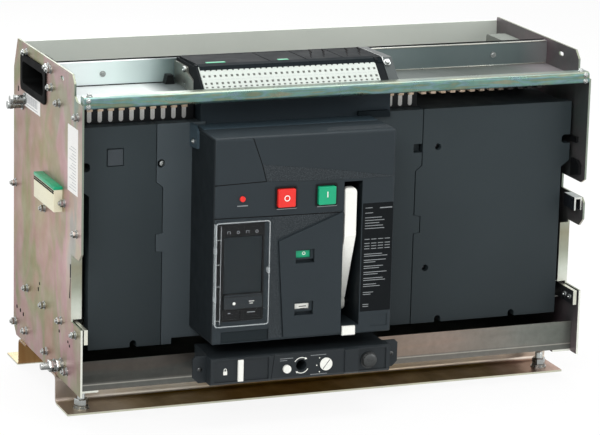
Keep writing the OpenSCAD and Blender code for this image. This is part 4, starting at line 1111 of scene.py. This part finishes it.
@piece("trip_cover", "clear_edge_highlight")
def trip_cover_rim(bm):
    """Bright rim of the clear cover, its hinge knuckles, its latch tab and the ribs along its hinge, all pale
    as a painted highlight.
    """
    outer = rounded((-216.5, -135.0), (108, 261), 4)
    inner = rounded((-215.0, -136.5), (109.6, 259.4), 3)
    hoop(bm, outer, inner, LID_Y - 0.1, LID_Y - 0.7)
    for z in (219, 149):
        slab(bm, (-217.0, COVER_Y - 8.5, z - 4), (-213.6, COVER_Y - 1.5, z + 4), 0.5)
    slab(bm, (-137.5, LID_Y - 0.9, 183), (-134.2, COVER_Y - 3, 191), 0.5)
    slab(bm, (-216.2, LID_Y + 0.2, 111), (-215.4, COVER_Y - 1.0, 258), 0.2)
    slab(bm, (-209.2, LID_Y - 0.6, 113), (-208.4, LID_Y, 256), 0.15)
    for z in (118, 168, 200, 236):
        slab(bm, (-215.0, LID_Y - 0.6, z), (-209.2, LID_Y, z + 0.9), 0.15)


@piece("breaker", "screen")
def trip_screen(bm):
    prism(bm, rounded((-200.5, -143.5), (154, 236.6), 1.0), COVER_Y + 0.2, COVER_Y + 0.9)


@piece("breaker", "icon")
def trip_marks(bm):
    """Four plain signs over the screen and two bars under the keys."""
    y = (COVER_Y - 1.25, COVER_Y - 0.9)
    for x in (-194, -166):
        prism(bm, ribbon([(x - 2, 241.8), (x - 2, 245.4), (x + 2, 245.4), (x + 2, 241.8)], 0.7), *y)
    for x in (-180, -152):
        ring(bm, (x, y[1], 243.5), FRONT, 1.4, 2.2, 0.3, 18)
    for x, w in ((-193, 4), (-164, 12)):
        bar(bm, (x, x + w), (124.6, 125.8), COVER_Y - 0.3, COVER_Y + 0.2)


@piece("breaker", "keys")
def trip_keys(bm):
    prism(bm, rounded((-200.8, -143.2), (132.6, 149.6), 1.2), KEYS_Y, KEYS_Y + 0.4)
    prism(bm, [(-201, 149.2), (-143, 149.2), (-145, 152.6), (-199, 152.6)], COVER_Y - 3.2, COVER_Y - 0.9)


@piece("breaker", "white")
def trip_key_marks(bm):
    disc(bm, (-185.4, KEYS_Y + 0.1, 140.3), FRONT, 2.2, 0.5, 18, 0.1)
    slab(bm, (-163, KEYS_Y - 0.2, 142), (-155, KEYS_Y + 0.1, 142.9), 0)
    slab(bm, (-162, KEYS_Y - 0.2, 139), (-157, KEYS_Y + 0.1, 139.9), 0)


# Racking unit
def arrow(bm, points, y):
    """Curved arrow through the points, with its head at the last one."""
    prism(bm, ribbon(points, 1.1), *y)
    end, before = Vector(points[-1]), Vector(points[-3])
    d = (end - before).normalized()
    side = Vector((-d.y, d.x)) * 1.9
    prism(bm, [tuple(end + d * 3.2), tuple(end + side), tuple(end - side)], *y)


@piece("cradle", "white")
def racking_marks(bm):
    """Arrows round the crank socket, dots round the position disc and a padlock sign."""
    y = (RACK_Y - 0.25, RACK_Y + 0.1)
    for start, end in ((150, 60), (-30, -120)):
        arrow(bm, arc(-80, 40, 11.6, start, end), y)
    for x, z in ((-52, 48.8), (-56.2, 38), (-51.8, 27.9)):
        disc(bm, (x, y[1], z), FRONT, 0.9, 0.3, 12, 0.05)
    sign_y = (RACK_Y + 1.7, RACK_Y + 2.1)
    shackle = [(-197.3, 40), (-197.3, 42)] + arc(-195.5, 42, 1.8, 180, 0) + [(-193.7, 40)]
    prism(bm, rounded((-198.4, -192.6), (34.5, 40), 0.6), *sign_y)
    prism(bm, ribbon(shackle, 0.9), *sign_y)


@piece("cradle", "print")
def racking_print(bm):
    """Plain bars in place of print."""
    for x, z, w in ((-113, 51.5, 20), (-113, 48.6, 11), (-66, 53, 24), (-66, 24.4, 26)):
        bar(bm, (x, x + w), (z, z + 0.9), RACK_Y - 0.2, RACK_Y + 0.1)


@piece("cradle", "trim")
def position_pointer(bm):
    prism(bm, ribbon([(-47, 32.5), (-37, 45.5)], 0.8), RACK_Y - 2.2, RACK_Y - 1.9)


@piece("cradle", "lock")
def racking_screws(bm):
    """Screws in the ears and the ring round the key lock."""
    for x in (-228, 68):
        screw(bm, (x, -40.2, 40), FRONT, 3.4, 1.6)
    ring(bm, (25, RACK_Y + 1.9, 39), FRONT, 11.05, 12.4, 2.4, 32)


@piece("cradle", "lock")
def key_lock_cap(bm):
    """Domed cap over the barrel of the key lock."""
    lo, hi = (Vector(corner) / MM - FRAME_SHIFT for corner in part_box("key_lock"))
    dome = [(0, -0.2), (10.6, -0.2), (10.6, 0.8), (10.1, 1.8), (8.8, 2.4), (5, 2.8), (0, 2.9)]
    lathe(bm, ((lo.x + hi.x) / 2, lo.y, (lo.z + hi.z) / 2), FRONT, dome, 32)


# Back panel and terminal insulators
BACK_Y = 333
INSULATOR_Y = 349
POLE_STEP = 230


@piece("cradle", "screw")
def back_screws(bm):
    places = [(x, z) for z in (20, 100, 180, 260, 340, 420) for x in (-380, 380)]
    places += [(x, z) for x in (-190, 0, 190) for z in (14, 448)]
    for x, z in places:
        bolt(bm, (x, BACK_Y, z), BACK, 4.0, 5.4, 3.0)
    for pole in (-1, 0, 1):
        for z in (300, 140):
            for dx, dz in ((-96, -25), (-96, 25), (96, -25), (96, 25)):
                screw(bm, (pole * POLE_STEP + dx, INSULATOR_Y, z + dz), BACK, 3.6, 2.2)


# Stage, light and camera
def seen(tree):
    """1 where the camera sees a surface itself, or through glass or in gloss, else 0."""
    rays = tree.nodes.new("ShaderNodeLightPath").outputs
    through = add_math(tree, "MAXIMUM", rays["Is Camera Ray"], rays["Is Transmission Ray"])
    return add_math(tree, "MAXIMUM", through, rays["Is Glossy Ray"])


def mix_shaders(tree, fac, a, b, out):
    mixed = add_node(tree, "ShaderNodeMixShader", 0, {"Fac": fac, 1: a, 2: b})
    tree.links.new(mixed, out.inputs["Surface"])


def floor():
    """Pale floor just under the feet, nearly white where it is seen, that keeps the object's shadow."""
    half, z = 30.0, -0.0003
    corners = [(-half, -half, z), (half, -half, z), (half, half, z), (-half, half, z)]
    mesh = bpy.data.meshes.new("floor")
    mesh.from_pydata(corners, [], [(0, 1, 2, 3)])
    obj = bpy.data.objects.new("floor", mesh)
    bpy.context.scene.collection.objects.link(obj)
    mat = bpy.data.materials.new("floor_white")
    mat.use_nodes = True
    tree = mat.node_tree
    tree.nodes.remove(tree.nodes["Principled BSDF"])
    diffuse = add_node(tree, "ShaderNodeBsdfDiffuse", 0, {"Color": grey(0.97)})
    glow = add_node(tree, "ShaderNodeEmission", 0, {"Color": grey(1.0)})
    share = add_math(tree, "MULTIPLY", seen(tree), 0.90)
    mix_shaders(tree, share, diffuse, glow, tree.nodes["Material Output"])
    mesh.materials.append(mat)


def world():
    """Soft light that grows from the floor to the ceiling, and white where it is seen."""
    studio = bpy.data.worlds.new("studio")
    bpy.context.scene.world = studio
    studio.use_nodes = True
    tree = studio.node_tree
    tree.nodes.clear()
    out = tree.nodes.new("ShaderNodeOutputWorld")
    white = add_node(tree, "ShaderNodeBackground", 0, {"Color": grey(1.0)})
    direction = add_node(tree, "ShaderNodeTexCoord", "Generated", {})
    height = add_node(tree, "ShaderNodeSeparateXYZ", "Z", {"Vector": direction})
    fac = add_node(tree, "ShaderNodeMapRange", "Result", {"Value": height, "From Min": -1.0, "From Max": 1.0})
    stops = [(0.0, grey(0.35)), (0.5, grey(0.42)), (0.62, grey(0.75)), (1.0, grey(0.95))]
    soft = add_node(tree, "ShaderNodeBackground", 0, {"Color": add_ramp(tree, fac, stops), "Strength": 0.55})
    mix_shaders(tree, seen(tree), soft, white, out)


def lamp(name, place, target, size, power):
    data = bpy.data.lights.new(name, "AREA")
    data.shape = "RECTANGLE"
    data.size, data.size_y = size
    data.energy = power
    obj = bpy.data.objects.new(name, data)
    obj.location = place
    obj.rotation_euler = (Vector(target) - Vector(place)).to_track_quat("-Z", "Y").to_euler()
    bpy.context.scene.collection.objects.link(obj)


# Camera, as solved from the cradle's straight edges, with its focal length in pixels of the photograph
IMAGE_W = 600.0
FOCAL = 2958.0
SENSOR_W = 36.0
CAMERA_PLACE = (-1.571, -4.071, 1.320)
YAW, PITCH, ROLL = (math.radians(angle) for angle in (21.35, 14.01, 1.48))


def camera():
    data = bpy.data.cameras.new("camera")
    data.sensor_width = SENSOR_W
    data.lens = FOCAL * SENSOR_W / IMAGE_W
    data.clip_end = 100.0
    obj = bpy.data.objects.new("camera", data)
    forward = Vector((math.sin(YAW) * math.cos(PITCH), math.cos(YAW) * math.cos(PITCH), -math.sin(PITCH)))
    right = Vector((math.cos(YAW), -math.sin(YAW), 0.0))
    up = right.cross(forward)
    x = right * math.cos(ROLL) + up * math.sin(ROLL)
    y = up * math.cos(ROLL) - right * math.sin(ROLL)
    turn = Matrix((x, y, -forward)).transposed().to_4x4()
    obj.matrix_world = Matrix.Translation(CAMERA_PLACE) @ turn
    bpy.context.scene.collection.objects.link(obj)
    bpy.context.scene.camera = obj


floor()
world()
lamp("key", (-2.0, -2.6, 2.4), (0, 0, 0.25), (2.2, 1.6), 62)
lamp("top", (0.2, 0.1, 2.6), (0, 0, 0.3), (2.6, 1.8), 55)
lamp("fill", (2.4, -2.4, 1.2), (0, 0, 0.25), (1.8, 1.8), 22)
lamp("back", (0.0, 2.6, 1.6), (0, 0, 0.3), (2.4, 1.4), 30)
camera()
bpy.context.scene.view_settings.view_transform = "Standard"
